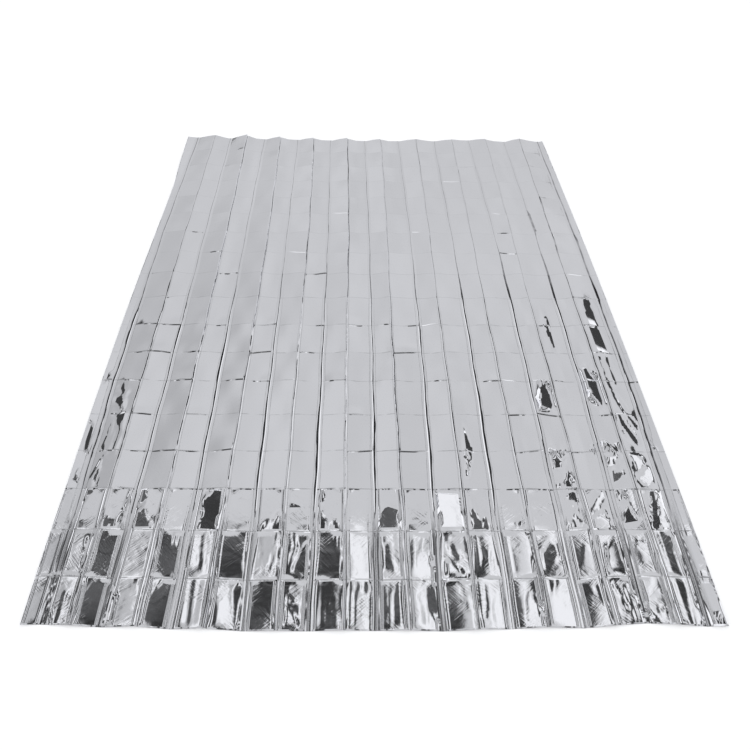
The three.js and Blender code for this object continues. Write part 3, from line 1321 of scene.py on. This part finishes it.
    def _cross_folded(self, strip: np.ndarray, row: np.ndarray, x: np.ndarray, y: np.ndarray,
                      z: np.ndarray) -> tuple[np.ndarray, np.ndarray]:
        """Makes the small steps along the cross creases.

        Args:
            strip: the points' places across, in strips.
            row: their places ahead, in panels.
            x: their places across, in millimetres.
            y: their places ahead.
            z: their heights.

        Returns:
            The new places ahead and heights.
        """
        y, z = y.copy(), z.copy()
        for fold in CROSS_FOLDS:
            share, ahead = strip - fold.strip, row - fold.row
            decay = self.fold_decays[1 if fold.row > self.fold_decay_row else 0]
            near = np.nonzero((share > 0) & (share < 1) & (np.abs(ahead) < decay + 0.05))[0]
            share, ahead = share[near], ahead[near]
            slope = self._aim(float(x[near].mean()), float(y[near].mean()), fold.facing)[1] * fold.turn
            kept = 1 - np.clip((np.abs(ahead) - self.fold_share) / decay, 0.0, 1.0)
            inside = np.clip(np.minimum(share, 1 - share) / self.line_share, 0.0, 1.0)
            y[near] += fold.slant * (share - 0.5) * kept * inside
            steep = 1 + np.sign(slope) * ahead / self.fold_share
            profile = np.where(np.sign(slope) * ahead < 0, np.clip(steep, 0.0, 1.0), kept)
            width = self.fold_share * self.lines.panel_length
            at_left = fold.strip < self.lines.strip_count / 2
            left, right = self.fold_tapers if at_left else self.fold_tapers[::-1]
            begun, ended = (share - fold.start + 0.02) / left, (fold.end - share + 0.02) / right
            span = np.clip(np.minimum(begun, ended), 0.0, 1.0)
            z[near] += abs(slope) * width * profile * span
        return y, z

    def _on_sheet(self, place: tuple[float, float]) -> np.ndarray:
        """Returns a place counted from the near left corner as one counted from the middle."""
        return np.array(place) * self.cut_share - self.middle

    def _faceted(self, x: np.ndarray, y: np.ndarray, z: np.ndarray,
                 room: np.ndarray) -> tuple[np.ndarray, ...]:
        """Turns the sheet's flat spots to what they face.

        Args:
            x: the points' places across.
            y: their places ahead.
            z: their heights.
            room: the room between the net's lines at them, or 0 where they stay.

        Returns:
            The new places across and ahead, the new heights, and the number of the crisp
            facet whose outline each point lies on, or -1.
        """
        x, y, z = x.copy(), y.copy(), z.copy()
        border = np.full(len(x), -1)
        for number, facet in enumerate(self._panels() + FACETS):
            corners = [self._on_sheet(corner) for corner in facet.corners]
            middle = sum(corners) / len(corners)
            low, high = np.min(corners, axis=0), np.max(corners, axis=0)
            edge = self.crisp_reach if facet.soft == 0 else 0.0
            near = np.nonzero((x > low[0] - edge) & (x < high[0] + edge)
                              & (y > low[1] - edge) & (y < high[1] + edge))[0]
            if len(near) == 0:
                continue
            if facet.soft == 0:
                x[near], y[near], snapped = self._snapped(corners, x[near], y[near], room[near])
                border[near[snapped]] = number
            px, py, pz = x[near], y[near], z[near]
            inside = self._depth(corners, middle, px, py)
            if facet.soft:
                weight = smooth_step(0.0, facet.soft, inside)
            else:
                weight = np.clip(1 + (inside + self.crisp_edge) / self._feather(facet.facing), 0.0, 1.0)
                weight = np.where(room[near, 0] > 0, weight, 0.0)
            if np.count_nonzero(inside > -self.crisp_edge) == 0 or weight.sum() < self.least_weight:
                continue
            height = float((weight * pz).sum() / weight.sum())
            slope = self._aim(middle[0], middle[1], facet.facing)
            dx, dy = px - middle[0], py - middle[1]
            half_width, half_length = (high - low) / 2
            bow = facet.bend * (dx * dx - half_width * half_width / 3) / (2 * half_width)
            plane = height + slope[0] * dx + slope[1] * dy + bow + facet.twist * dx * dy / half_length
            plane += max(0.0, -float(plane[inside > -self.crisp_edge].min()))
            z[near] = pz + weight * (plane - pz)
        return x, y, z, border

    def _feather(self, facing: Facing) -> float:
        """Returns how far round a crisp facet the film runs up to it, in millimetres."""
        return self.steep_feather if facing in (LEFT_GAP, RIGHT_GAP) else self.plain_feather

    @staticmethod
    def _depth(corners: list[np.ndarray], middle: np.ndarray, x: np.ndarray, y: np.ndarray) -> np.ndarray:
        """Measures how far inside an outline some points lie.

        Args:
            corners: the outline's corners.
            middle: its middle.
            x: the points' places across.
            y: their places ahead.

        Returns:
            The distances, below 0 where a point is outside.
        """
        inside = np.full(len(x), np.inf)
        for start, end in zip(corners, corners[1:] + corners[:1]):
            edge = (end - start) / np.linalg.norm(end - start)
            reach = edge[0] * (y - start[1]) - edge[1] * (x - start[0])
            side = edge[0] * (middle[1] - start[1]) - edge[1] * (middle[0] - start[0])
            inside = np.minimum(inside, reach * np.sign(side))
        return inside

    @staticmethod
    def _snapped(corners: list[np.ndarray], x: np.ndarray, y: np.ndarray,
                 room: np.ndarray) -> tuple[np.ndarray, ...]:
        """Moves the net's points beside an outline onto it.

        Args:
            corners: the outline.
            x: the points' places across.
            y: their places ahead.
            room: the room between the net's lines at them, or 0 where they stay.

        Returns:
            The new places across and ahead, and which points lie on the outline.
        """
        places = np.stack((x, y), axis=1)
        snapped = np.zeros(len(x), dtype=bool)
        for start, end in zip(corners, corners[1:] + corners[:1]):
            run = end - start
            moved, kept = (0, 1) if abs(run[1]) >= 0.8 * abs(run[0]) else (1, 0)
            share = (places[:, kept] - start[kept]) / run[kept]
            target = start[moved] + share * run[moved]
            off = np.abs(places[:, moved] - target)
            hit = (share >= -0.02) & (share <= 1.02) & (off <= 0.52 * room[:, moved])
            places[hit, moved] = target[hit]
            snapped |= hit
        return places[:, 0], places[:, 1], snapped

    def _panels(self) -> tuple[Facet, ...]:
        """Makes the near panels and the bars between them, each turned to its own part of the studio.

        Returns:
            The panels, and then the bars.
        """
        lines = self.lines
        facets, bars = [], []
        for row, facings in enumerate(NEAR_PANELS):
            for strip, (facing, bend, twist) in enumerate(facings):
                rows = np.array((row, row + 1.0))
                left, right = self._side(strip - 1, rows), self._side(strip, rows)
                corners = ((left[0][0] + left[3][0], left[1][0]), (right[0][0] - right[3][0], right[1][0]),
                           (right[0][1] - right[3][1], right[1][1]), (left[0][1] + left[3][1], left[1][1]))
                corners = tuple(tuple((np.array(corner) + self.middle) / self.cut_share)
                                for corner in corners)
                facets.append(Facet(corners, facing, bend, twist, soft=self.panel_soft))
                if row > 0:
                    (low_x, low_y), (high_x, high_y) = corners[:2]
                    half = self.fold_bar_half_width
                    bar = ((low_x, low_y - half), (high_x, high_y - half),
                           (high_x, high_y + half), (low_x, low_y + half))
                    bars.append(Facet(bar, WHITE, soft=self.fold_bar_edge))
        return tuple(facets + bars)

    def _crimped(self, x: np.ndarray, y: np.ndarray, z: np.ndarray) -> np.ndarray:
        """Raises the sheet's short folds.

        Args:
            x: the points' places across.
            y: their places ahead.
            z: their heights.

        Returns:
            The new heights.
        """
        z = z.copy()
        for crimp in CRIMPS:
            start, end = self._on_sheet(crimp.start), self._on_sheet(crimp.end)
            length = np.linalg.norm(end - start)
            run = (end - start) / length
            reach = max(crimp.left, crimp.right)
            low, high = np.minimum(start, end) - reach, np.maximum(start, end) + reach
            near = np.nonzero((x > low[0]) & (x < high[0]) & (y > low[1]) & (y < high[1]))[0]
            dx, dy = x[near] - start[0], y[near] - start[1]
            share = (dx * run[0] + dy * run[1]) / length
            off = -dx * run[1] + dy * run[0]
            width = np.where(off > 0, crimp.left, crimp.right)
            tent = np.clip(1 - np.abs(off) / width, 0.0, 1.0)
            taper = np.clip(1 - np.abs(2 * share - 1), 0.0, 1.0) ** 0.5
            z[near] += crimp.height * tent * taper
        return z

    def _thicken(self, sheet: bpy.types.Object) -> None:
        """Smooths the sheet's shading and gives the film its thickness.

        Args:
            sheet: the sheet.
        """
        deselect_all()
        sheet.select_set(True)
        bpy.context.view_layer.objects.active = sheet
        bpy.ops.object.shade_smooth()
        solidify = sheet.modifiers.new("film_thickness", "SOLIDIFY")
        solidify.thickness = self.film_thickness * MM
        solidify.offset = -1.0
        bpy.ops.object.modifier_apply(modifier=solidify.name)


# The near panels, row by row from the near end, each from the left part strip to the right
# one: what the panel is turned to, its bend and its twist.
NEAR_PANELS = (
    ((LIGHT, .0, .0), (LIGHT, .02, .01), (DARK, .03, .0), (LIGHT, .02, .0), (DARK, .02, .02),
     (LIGHT, .04, .01), (WHITE, .05, .03), (DARK, .05, -.02), (LIGHT_LEFT, .05, .0), (DARK, .06, .01),
     (LIGHT, .05, -.01), (LIGHT_LEFT, .06, .01), (WHITE, .03, .0), (LIGHT_LEFT, .04, .01),
     (WHITE, .05, .0), (WHITE, -.08, .0), (WHITE, .03, .0), (LIGHT_LEFT, .05, -.01), (LIGHT, .0, .0),
     (LIGHT, .01, .0), (DARK_LEFT, .07, .01), (WALL, .0, .0)),
    ((LIGHT, .0, .0), (LIGHT, .0, .0), (DARK, .01, .0), (LIGHT, .01, .0), (DARK, .04, .01),
     (LIGHT, .04, .0), (DARK, .01, .0), (LIGHT, .03, .0), (LIGHT_LEFT, .05, .01), (DARK, .01, .0),
     (WHITE, .02, .0), (LIGHT, .03, .0), (WHITE, .03, .0), (LIGHT, .02, .0), (LIGHT_LEFT, .07, .0),
     (LIGHT, .03, .0), (LIGHT, .04, .02), (LIGHT_LEFT, .03, .0), (WHITE, .04, .01), (LIGHT, .03, .0),
     (DARK_LEFT, .05, .0), (WALL, .0, .0)),
    ((WALL, .0, .0),) * 22,
)

# Smaller flat spots, in front of or between the panels' own: what each is turned to, its bend
# and its outline, as x, y, x, y and so on from the sheet's near left corner, and how wide its
# folded edges are where that differs from the group's.
FACETS = (
    # near row, left to right
    *facets(
        FOLDED,
        (DARK, 0, (31, 114, 49, 110, 42, 84, 33, 84)),
        (WHITE, .02, (33, 3, 43, 3, 50, 104, 44, 106, 33, 50)), (DARK, 0, (44, 3, 66, 3, 52, 62, 46, 30)),
        (DARK, .1, (68, 3, 88, 3, 84, 80, 70, 76)), (WHITE, 0, (68, 84, 84, 80, 76, 106)),
        (DARK, 0, (110, 108, 138, 106, 122, 72)), (DARK, 0, (144, 104, 173, 106, 170, 76, 163, 80)),
        (LIGHT, 0, (122, 62, 134, 88, 144, 104, 137, 106, 124, 76)),
        (LIGHT, 0, (140, 104, 148, 104, 166, 78, 160, 74, 150, 84)),
        (WHITE, .03, (180, 3, 204, 3, 202, 62, 190, 84, 180, 84)),
        (LIGHT, .02, (206, 3, 248, 3, 249, 58, 241, 86, 228, 106, 214, 84, 207, 50)),
        (DARK, 0, (231, 106, 253, 112, 253, 66, 246, 76)),
        (LIGHT, 0, (268, 108, 300, 104, 284, 76, 272, 66)),
        (WHITE, .05, (350, 3, 371, 3, 372, 106, 350, 106)),
        (DARK, 0, (371, 3, 382, 3, 381, 106, 372, 106), 2.5),
        (LIGHT, .02, (382, 3, 407, 3, 407, 104, 382, 104)),
        (WHITE, .01, (432, 3, 482, 3, 470, 50, 458, 76, 444, 90, 430, 66)),
        (DARK, 0, (462, 80, 480, 97, 491, 102, 491, 3, 482, 3)),
        (LIGHT, 0, (422, 108, 480, 104, 447, 90, 424, 88)), (DARK, 0, (513, 98, 527, 78, 512, 74)),
        (LIGHT, 0, (592, 76, 622, 56, 628, 62, 604, 100, 592, 98)),
        (WHITE, 0, (592, 44, 624, 54, 594, 72), 2.5), (DARK, 0, (596, 44, 625, 53, 632, 20, 614, 32), 2.5),
        (WHITE, 0, (591, 3, 628, 3, 612, 30, 594, 42), 2.5),
        (WHITE, 0, (697, 62, 704, 62, 714, 3, 702, 3), 2), (DARK, .1, (668, 3, 692, 3, 690, 100, 668, 100)),
        (WHITE, 0, (740, 108, 765, 92, 755, 76, 742, 84)), (DARK, .05, (740, 4, 753, 4, 756, 74, 741, 84)),
        (WHITE, 0, (754, 4, 766, 4, 765, 66, 758, 84), 2.5),
        (DARK, 0, (770, 76, 791, 70, 791, 100, 768, 98)),
        (DARK, .02, (838, 3, 862, 3, 864, 100, 850, 96, 840, 70)),
        (LIGHT, .02, (818, 3, 836, 3, 838, 60, 846, 98, 820, 98)),
        (DARK, .02, (896, 82, 946, 98, 946, 3, 928, 3, 922, 40)),
        (LIGHT, 0, (880, 108, 940, 106, 900, 86, 882, 70)),
        (WHITE, .06, (884, 3, 922, 3, 918, 40, 896, 78, 884, 60)),
        (DARK, .03, (990, 84, 1000, 98, 1022, 50, 1026, 3, 1014, 40, 1002, 60), 2.5),
        (LIGHT, .09, (1048, 3, 1070, 3, 1068, 50, 1090, 94, 1052, 94)),
        (WHITE, .02, (1072, 3, 1098, 3, 1100, 96, 1092, 90, 1070, 46)),
        (DARK, .03, (1132, 102, 1190, 104, 1190, 48, 1174, 76, 1160, 70, 1142, 30)),
        (WHITE, .02, (1140, 3, 1184, 3, 1182, 50, 1162, 84, 1150, 60)),
        (DARK, 0, (1206, 104, 1236, 104, 1216, 62, 1207, 84)),
        (WHITE, .01, (1208, 3, 1262, 3, 1256, 78, 1240, 104, 1222, 66)),
        (DARK, .03, (1314, 92, 1332, 104, 1338, 30, 1326, 60, 1318, 76), 2.5),
        (DARK, 0, (1358, 96, 1366, 10, 1380, 8, 1362, 70), 2.5),
        (WHITE, 0, (1361, 104, 1386, 28, 1390, 44, 1368, 96), 2),
        (LIGHT, 0, (1388, 96, 1392, 8, 1412, 8, 1414, 50, 1408, 84)),
        (LIGHT, 0, (1420, 42, 1466, 112, 1478, 112, 1476, 40, 1472, 12)),
        (DARK, 0, (1444, 38, 1474, 48, 1474, 34, 1456, 32), 2),
        (WALL, 0, (1420, 38, 1456, 10, 1410, 10), 2.5), (DARK, 0, (1511, 3, 1528, 3, 1532, 110, 1512, 110)),
        (WHITE, 0, (1530, 3, 1550, 3, 1548, 110, 1536, 110)),
        (DARK, 0, (1574, 42, 1598, 40, 1582, 8, 1576, 10)), (DARK, 0, (1584, 6, 1600, 6, 1600, 32)),
    ),
    # second row
    *facets(
        FOLDED,
        (WALL, 0, (86, 214, 104, 214, 103, 122, 98, 122)), (LIGHT, 0, (112, 114, 118, 138, 136, 118)),
        (LIGHT, .05, (139, 120, 162, 152, 168, 120)),
        (DARK, 0, (118, 226, 166, 226, 161, 154, 138, 124, 119, 142)),
        (LIGHT, .04, (300, 222, 326, 222, 324, 178, 306, 186)), (LIGHT, 0, (272, 148, 288, 120, 271, 118)),
        (LIGHT, 0, (293, 119, 326, 128, 328, 114)),
        (WHITE, .04, (345, 224, 366, 222, 384, 140, 360, 130, 346, 136)),
        (DARK, 0, (366, 222, 376, 222, 392, 124, 384, 126), 2),
        (LIGHT, 0, (378, 218, 394, 216, 405, 130, 394, 124)),
        (DARK, 0, (394, 226, 408, 226, 408, 186, 402, 180), 2.5),
        (LIGHT, 0, (462, 116, 476, 132, 490, 114)),
        (DARK, 0, (428, 226, 470, 218, 487, 190, 481, 130, 466, 118, 428, 120)),
        (WHITE, 0, (514, 196, 530, 200, 520, 120, 511, 118), 2.5),
        (LIGHT, 0, (520, 200, 556, 214, 544, 118, 526, 118)),
        (DARK, 0, (560, 218, 566, 218, 553, 145, 545, 118, 541, 118), 1.5),
        (LIGHT, 0, (554, 140, 566, 196, 572, 150, 566, 116, 550, 118)),
        (WHITE, 0, (584, 224, 600, 216, 616, 182, 590, 178)),
        (WHITE, .03, (584, 176, 614, 180, 592, 138, 584, 136)),
        (DARK, .08, (606, 224, 642, 224, 642, 202, 622, 184)),
        (DARK, 0, (620, 180, 642, 202, 642, 122, 612, 120, 594, 132, 608, 152)),
        (DARK, 0, (668, 221, 692, 221, 717, 160, 717, 116, 668, 114)),
        (LIGHT, 0, (696, 222, 718, 222, 717, 168)), (WHITE, .02, (742, 222, 782, 222, 784, 120, 742, 120)),
        (DARK, .03, (822, 196, 836, 190, 856, 120, 866, 116, 820, 114)),
        (DARK, 0, (816, 222, 838, 206, 826, 196), 2),
        (LIGHT, .02, (840, 222, 870, 222, 868, 130, 850, 160)),
        (LIGHT, .12, (884, 216, 914, 214, 908, 168, 896, 122, 888, 150)),
        (LIGHT, 0, (918, 216, 944, 216, 944, 180, 930, 164, 912, 176)),
        (DARK, 0, (928, 166, 946, 158, 946, 114, 940, 136), 2.5),
        (WHITE, 0, (898, 122, 912, 172, 930, 158, 942, 118)),
        (DARK, 0, (980, 194, 994, 196, 1016, 156, 1008, 148, 994, 154, 982, 176), 2.5),
        (DARK, .06, (970, 222, 996, 214, 984, 198, 974, 204), 2.5),
        (WHITE, .02, (972, 170, 992, 148, 1020, 140, 1022, 120, 970, 118)),
        (WHITE, .01, (1050, 218, 1066, 216, 1070, 160, 1058, 124, 1050, 124)),
        (DARK, .03, (1070, 218, 1096, 218, 1090, 160, 1092, 120, 1062, 120, 1074, 160)),
        (LIGHT, .03, (1132, 222, 1190, 222, 1188, 120, 1132, 120)),
        (LIGHT, .03, (1208, 222, 1262, 222, 1240, 200, 1212, 180)),
        (DARK, .02, (1207, 172, 1240, 204, 1256, 190, 1256, 164, 1214, 126, 1207, 128)),
        (LIGHT, .04, (1222, 124, 1262, 164, 1264, 122)), (DARK, 0, (1313, 200, 1332, 218, 1330, 202), 2),
        (LIGHT, .03, (1298, 136, 1318, 196, 1334, 190, 1336, 122, 1300, 120)),
        (LIGHT, -.04, (1362, 140, 1372, 190, 1404, 216, 1412, 124, 1366, 126)),
        (DARK, 0, (1446, 200, 1476, 216, 1476, 198), 2),
        (LIGHT, .02, (1440, 130, 1450, 176, 1482, 172, 1482, 126)),
        (DARK, .01, (1510, 226, 1536, 226, 1541, 120, 1512, 118)),
        (WHITE, 0, (1543, 222, 1556, 222, 1552, 120, 1544, 120)),
    ),
    # third row
    *facets(
        CRISP,
        (DARK, 0, (37, 338, 70, 338, 50, 303)), (DARK, .02, (117, 238, 122, 276, 138, 256, 138, 238)),
        (DARK, .02, (138, 238, 138, 256, 152, 266, 162, 240)),
        (DARK, 0, (153, 244, 158, 244, 172, 332, 166, 334)),
        (DARK, .02, (192, 338, 212, 338, 214, 300, 192, 280)),
        (DARK, .03, (192, 280, 214, 300, 236, 238, 192, 238)), (DARK, .04, (226, 262, 252, 274, 256, 236)),
        (DARK, 0, (365, 233, 406, 231, 404, 334, 378, 336, 362, 318)),
        (DARK, 0, (548, 232, 575, 231, 566, 272)), (WHITE, 0, (518, 231, 545, 232, 564, 274, 552, 272)),
        (DARK, 0, (580, 291, 584, 306, 620, 291)), (DARK, 0, (656, 340, 676, 338, 668, 290, 657, 290)),
        (DARK, 0, (657, 290, 668, 290, 680, 234, 657, 234)), (DARK, 0, (692, 234, 718, 236, 708, 262)),
        (DARK, 0, (696, 235, 717, 232, 706, 257)),
        (DARK, .05, (816, 236, 868, 238, 862, 284, 838, 292, 814, 280)),
        (WHITE, .012, (968, 326, 1022, 326, 1025, 240, 972, 238)),
        (DARK, .02, (1048, 232, 1077, 233, 1055, 312)), (DARK, 0, (1077, 233, 1090, 236, 1085, 280)),
        (DARK, .06, (1160, 252, 1182, 256, 1174, 236)), (DARK, 0, (1277, 300, 1277, 345, 1290, 334)),
        (DARK, 0, (1277, 237, 1277, 276, 1293, 240)),
        (DARK, 0, (1306, 328, 1330, 338, 1331, 298, 1316, 308)),
        (WHITE, 0, (1312, 300, 1330, 292, 1330, 268)), (LIGHT, 0, (1304, 238, 1318, 290, 1330, 240)),
        (WHITE, 0, (1346, 262, 1392, 294, 1409, 334, 1392, 337, 1370, 302)),
        (LIGHT, .02, (1350, 236, 1352, 254, 1396, 284, 1404, 238)),
        (DARK, 0, (1438, 250, 1474, 256, 1456, 306)),
        (LIGHT, 0, (1440, 310, 1452, 318, 1450, 342, 1440, 342)),
        (LIGHT, .02, (1466, 286, 1479, 260, 1480, 340, 1460, 340)),
        (DARK, 0, (1505, 236, 1526, 236, 1540, 336, 1526, 336)),
        (WHITE, 0, (1530, 238, 1548, 238, 1548, 330, 1543, 330)),
    ),
    # fourth row
    *facets(
        CRISP,
        (DARK, 0, (46, 380, 62, 358, 77, 352, 71, 400, 66, 454, 58, 412)),
        (DARK, 0, (4, 366, 12, 412, 18, 380, 28, 360, 20, 352)),
        (DARK, .02, (1052, 456, 1070, 456, 1066, 420, 1054, 376)),
        (DARK, 0, (1280, 350, 1298, 350, 1282, 376)),
        (DARK, .04, (1290, 408, 1296, 450, 1326, 450, 1318, 412)),
        (DARK, 0, (1310, 352, 1330, 352, 1326, 400, 1318, 396)),
        (DARK, .03, (1440, 352, 1480, 384, 1462, 404, 1446, 398)),
        (WHITE, 0, (1440, 412, 1464, 420, 1480, 440, 1478, 452, 1442, 452)),
        (WHITE, .02, (1500, 372, 1546, 406, 1546, 362, 1520, 350)),
        (WHITE, .02, (1500, 450, 1546, 440, 1540, 414, 1512, 400)),
        (DARK, 0, (1500, 386, 1510, 396, 1504, 430, 1498, 430)),
    ),
    # further ahead on the left
    *facets(
        CRISP,
        (LEFT_GAP, 0, (2, 545, 12, 535, 15, 500, 17, 462, 8, 460, 2, 490)),
        (LEFT_GAP, 0, (49, 455, 54, 455, 61, 520, 58, 565, 56, 520)),
        (LEFT_GAP, 0, (86, 455, 92, 455, 92, 590, 88, 590)),
        (LEFT_GAP, 0, (62, 576, 92, 580, 92, 535, 80, 545)),
        (LEFT_GAP, 0, (48, 590, 50, 640, 60, 645, 75, 630, 78, 604, 92, 593)),
        (LEFT_GAP, 0, (48, 678, 52, 686, 77, 657, 73, 652)), (LEFT_GAP, 0, (1, 742, 12, 716, 1, 704)),
        (LEFT_GAP, 0, (166, 590, 170, 590, 163, 475, 160, 475)),
    ),
    # further ahead on the right
    *facets(
        CRISP,
        (RIGHT_GAP, 0, (1060, 542, 1068, 500, 1080, 468, 1074, 450, 1058, 452)),
        (RIGHT_GAP, 0, (1328, 455, 1343, 455, 1338, 492)),
        (RIGHT_GAP, 0, (1298, 458, 1326, 450, 1318, 436)),
        (RIGHT_GAP, 0, (1414, 470, 1435, 487, 1434, 438, 1426, 438)),
        (RIGHT_GAP, 0, (1438, 478, 1441, 488, 1490, 464, 1487, 455)),
        (RIGHT_GAP, 0, (1509, 578, 1522, 562, 1530, 545, 1546, 512, 1544, 484, 1528, 496, 1511, 530)),
        (RIGHT_GAP, 0, (1538, 564, 1564, 546, 1553, 526, 1544, 540)),
        (RIGHT_GAP, 0, (1550, 582, 1565, 592, 1569, 562)),
        (RIGHT_GAP, 0, (1574, 518, 1582, 512, 1585, 468, 1578, 478)),
        (RIGHT_GAP, 0, (1294, 604, 1297, 640, 1311, 700, 1326, 692, 1336, 650, 1342, 624, 1326, 602)),
        (RIGHT_GAP, 0, (1333, 704, 1347, 704, 1342, 726)),
        (RIGHT_GAP, 0, (1440, 711, 1444, 741, 1462, 754, 1487, 711)),
        (RIGHT_GAP, .1, (1442, 702, 1493, 702, 1491, 640, 1478, 610, 1450, 648)),
        (RIGHT_GAP, 0, (1507, 697, 1515, 697, 1537, 600)),
        (RIGHT_GAP, 0, (1512, 802, 1520, 802, 1511, 700)),
        (RIGHT_GAP, 0, (1537, 802, 1544, 802, 1534, 700)),
        (RIGHT_GAP, .04, (1516, 822, 1514, 925, 1548, 925, 1551, 822)),
        (RIGHT_GAP, .04, (1519, 937, 1517, 1040, 1550, 1062, 1556, 1000, 1546, 937)),
        (RIGHT_GAP, 0, (1371, 926, 1389, 926, 1388, 850, 1390, 820, 1376, 850)),
        (RIGHT_GAP, 0, (1375, 944, 1397, 944, 1382, 994)),
        (RIGHT_GAP, 0, (1584, 890, 1600, 882, 1600, 926, 1587, 926)),
        (RIGHT_GAP, 0, (1584, 936, 1600, 936, 1600, 990, 1592, 1000)),
    ),
)

# The small steps along the cross creases: the cross crease, the strip, the slant, where it
# starts and ends, and how much of the way it is turned where that isn't all of it.
CROSS_FOLDS = (
    *cross_folds(
        BEHIND,
        *((3, strip, 0, .06, .94, .8) for strip in (1, 2, 4, 5, 6, 7, 9, 11, 12, 13, 16, 19, 20)),
        (4, 1, 0, .25, .8), (4, 2, 0, .5, .9), (4, 3, 0, .25, .95), (4, 4, 0, .3, .65), (4, 5, 8, .33, .95),
        (4, 10, 8, .2, .95), (4, 12, 6, .1, .9), (4, 14, 0, .2, .65), (4, 16, 18, .3, .95),
        (4, 17, -8, .3, .95), (4, 18, 8, .05, .5, .7), (4, 20, 0, .05, .5), (5, 2, -3, .05, .8),
        (5, 4, 0, .1, .65), (5, 10, 0, .15, .6), (5, 16, 8, .1, .6), (5, 17, -22, .05, .95),
        (5, 19, -4, .5, .95), (6, 1, -8, .3, .95, .55), (6, 3, 0, .3, .95), (6, 5, 0, .33, .95),
        (6, 6, 4, .35, .95), (6, 9, 0, .2, .95, .8), (6, 13, 0, .4, .95, .6), (6, 15, 0, .35, .95, .7),
        (6, 21, 0, .1, .8), (7, 1, 0, .3, .9, .7), (7, 2, 0, .05, .9), (7, 3, 0, .45, .85),
        (7, 6, 20, .05, .95), (7, 8, 0, .1, .6, .7), (7, 12, 11, .05, .95), (7, 20, 0, .2, .65),
        (8, 1, -4, .33, .95, .55), (8, 2, 8, .22, .95), (8, 4, 4, .35, .95, .8), (8, 6, 20, .05, .9),
        (8, 8, 6, .55, .95, .8), (8, 10, 3, .1, .85), (8, 11, 0, .55, .95, .7), (8, 12, 8, .6, .95, .7),
        (8, 18, 0, .22, .65), (8, 20, 0, .15, .65), (9, 2, 30, .05, .2), (9, 20, 0, .1, .65),
        (10, 4, 16, .2, .95, .8), (10, 8, 19, .05, .95), (10, 20, -4, .3, .75, .8), (11, 3, -8, .42, .8),
        (11, 17, -22, .05, .95, .6), (12, 2, 8, .2, .9, .4), (12, 17, -14, .15, .95, .5),
        (14, 6, 0, .8, .95), (16, 16, 20, .1, .9, .4), (16, 18, 25, .1, .6, .4),
    ),
    *cross_folds(
        FOOT,
        (5, 14, 0, .2, .8, .6), (5, 20, 3, .1, .7), (6, 7, 0, .6, .95), (6, 16, 0, .1, .75),
        (6, 17, -10, .15, .95), (6, 18, 0, .2, .7, .7), (6, 19, 0, .2, .95), (7, 14, 0, .2, .8, .6),
        (7, 15, 0, .15, .9, .7), (8, 13, 6, .05, .95), (8, 14, 0, .15, .95, .7), (8, 15, 0, .15, .95, .7),
        (9, 15, 0, .1, .9, .7), (10, 14, 0, .2, .9, .7), (10, 16, 5, .15, .95, .7), (11, 7, -24, .1, .95),
        (11, 9, -8, .05, .9, .6), (12, 13, -24, .1, .65), (12, 19, 14, .05, .6), (13, 9, -20, .15, .95),
        (13, 11, -24, .1, .9, .6), (13, 17, -34, .15, .8), (13, 19, -24, .15, .95, .6),
        (14, 17, -6, .25, .8, .6), (14, 19, 0, .4, .9, .6), (15, 12, -8, .05, .8, .5),
        (15, 15, -12, .05, .95),
    ),
)

# The stretches where a crease's sharp line is wider.
NIPS = (
    Nip(0, 860, 915, 4.0), Nip(0, 935, 1000, 3.0), Nip(1, 870, 985, 2.0), Nip(2, 850, 935, 2.5),
    Nip(4, 700, 860, 1.5), Nip(5, 615, 630, 2.0), Nip(6, 440, 600, 1.0), Nip(7, 555, 600, 2.0),
    Nip(8, 490, 560, 1.5), Nip(9, 495, 550, 2.0), Nip(10, 520, 560, 1.5), Nip(12, 850, 930, 2.0),
    Nip(13, 520, 580, 2.5), Nip(14, 550, 585, 3.0), Nip(14, 850, 1110, 1.0), Nip(15, 440, 510, 1.5),
    Nip(16, 850, 1300, 1.2), Nip(18, 850, 1300, 1.2), Nip(18, 1425, 1545, 5.0), Nip(19, 1300, 1385, 2.0),
    Nip(19, 1550, 1640, 4.0), Nip(20, 1050, 1140, 3.0), Nip(20, 1350, 1410, 3.0),
)

# The short straight folds.
CRIMPS = (
    Crimp((34, 117), (100, 118), 1.4, 5, 3),
)


def main() -> None:
    """Builds the scene piece by piece and reports the sheet's face count."""
    logging.basicConfig(level=logging.INFO, format="%(message)s")
    bpy.context.scene.view_settings.view_transform = "Standard"
    camera = StudioCamera()
    camera.build()
    studio = Studio()
    studio.build()
    StudioFloor().build()
    sheet = FoilSheet(camera, studio).build()
    log.info("%s: %d faces", sheet.name, len(sheet.data.polygons))


if __name__ == "__main__":
    main()
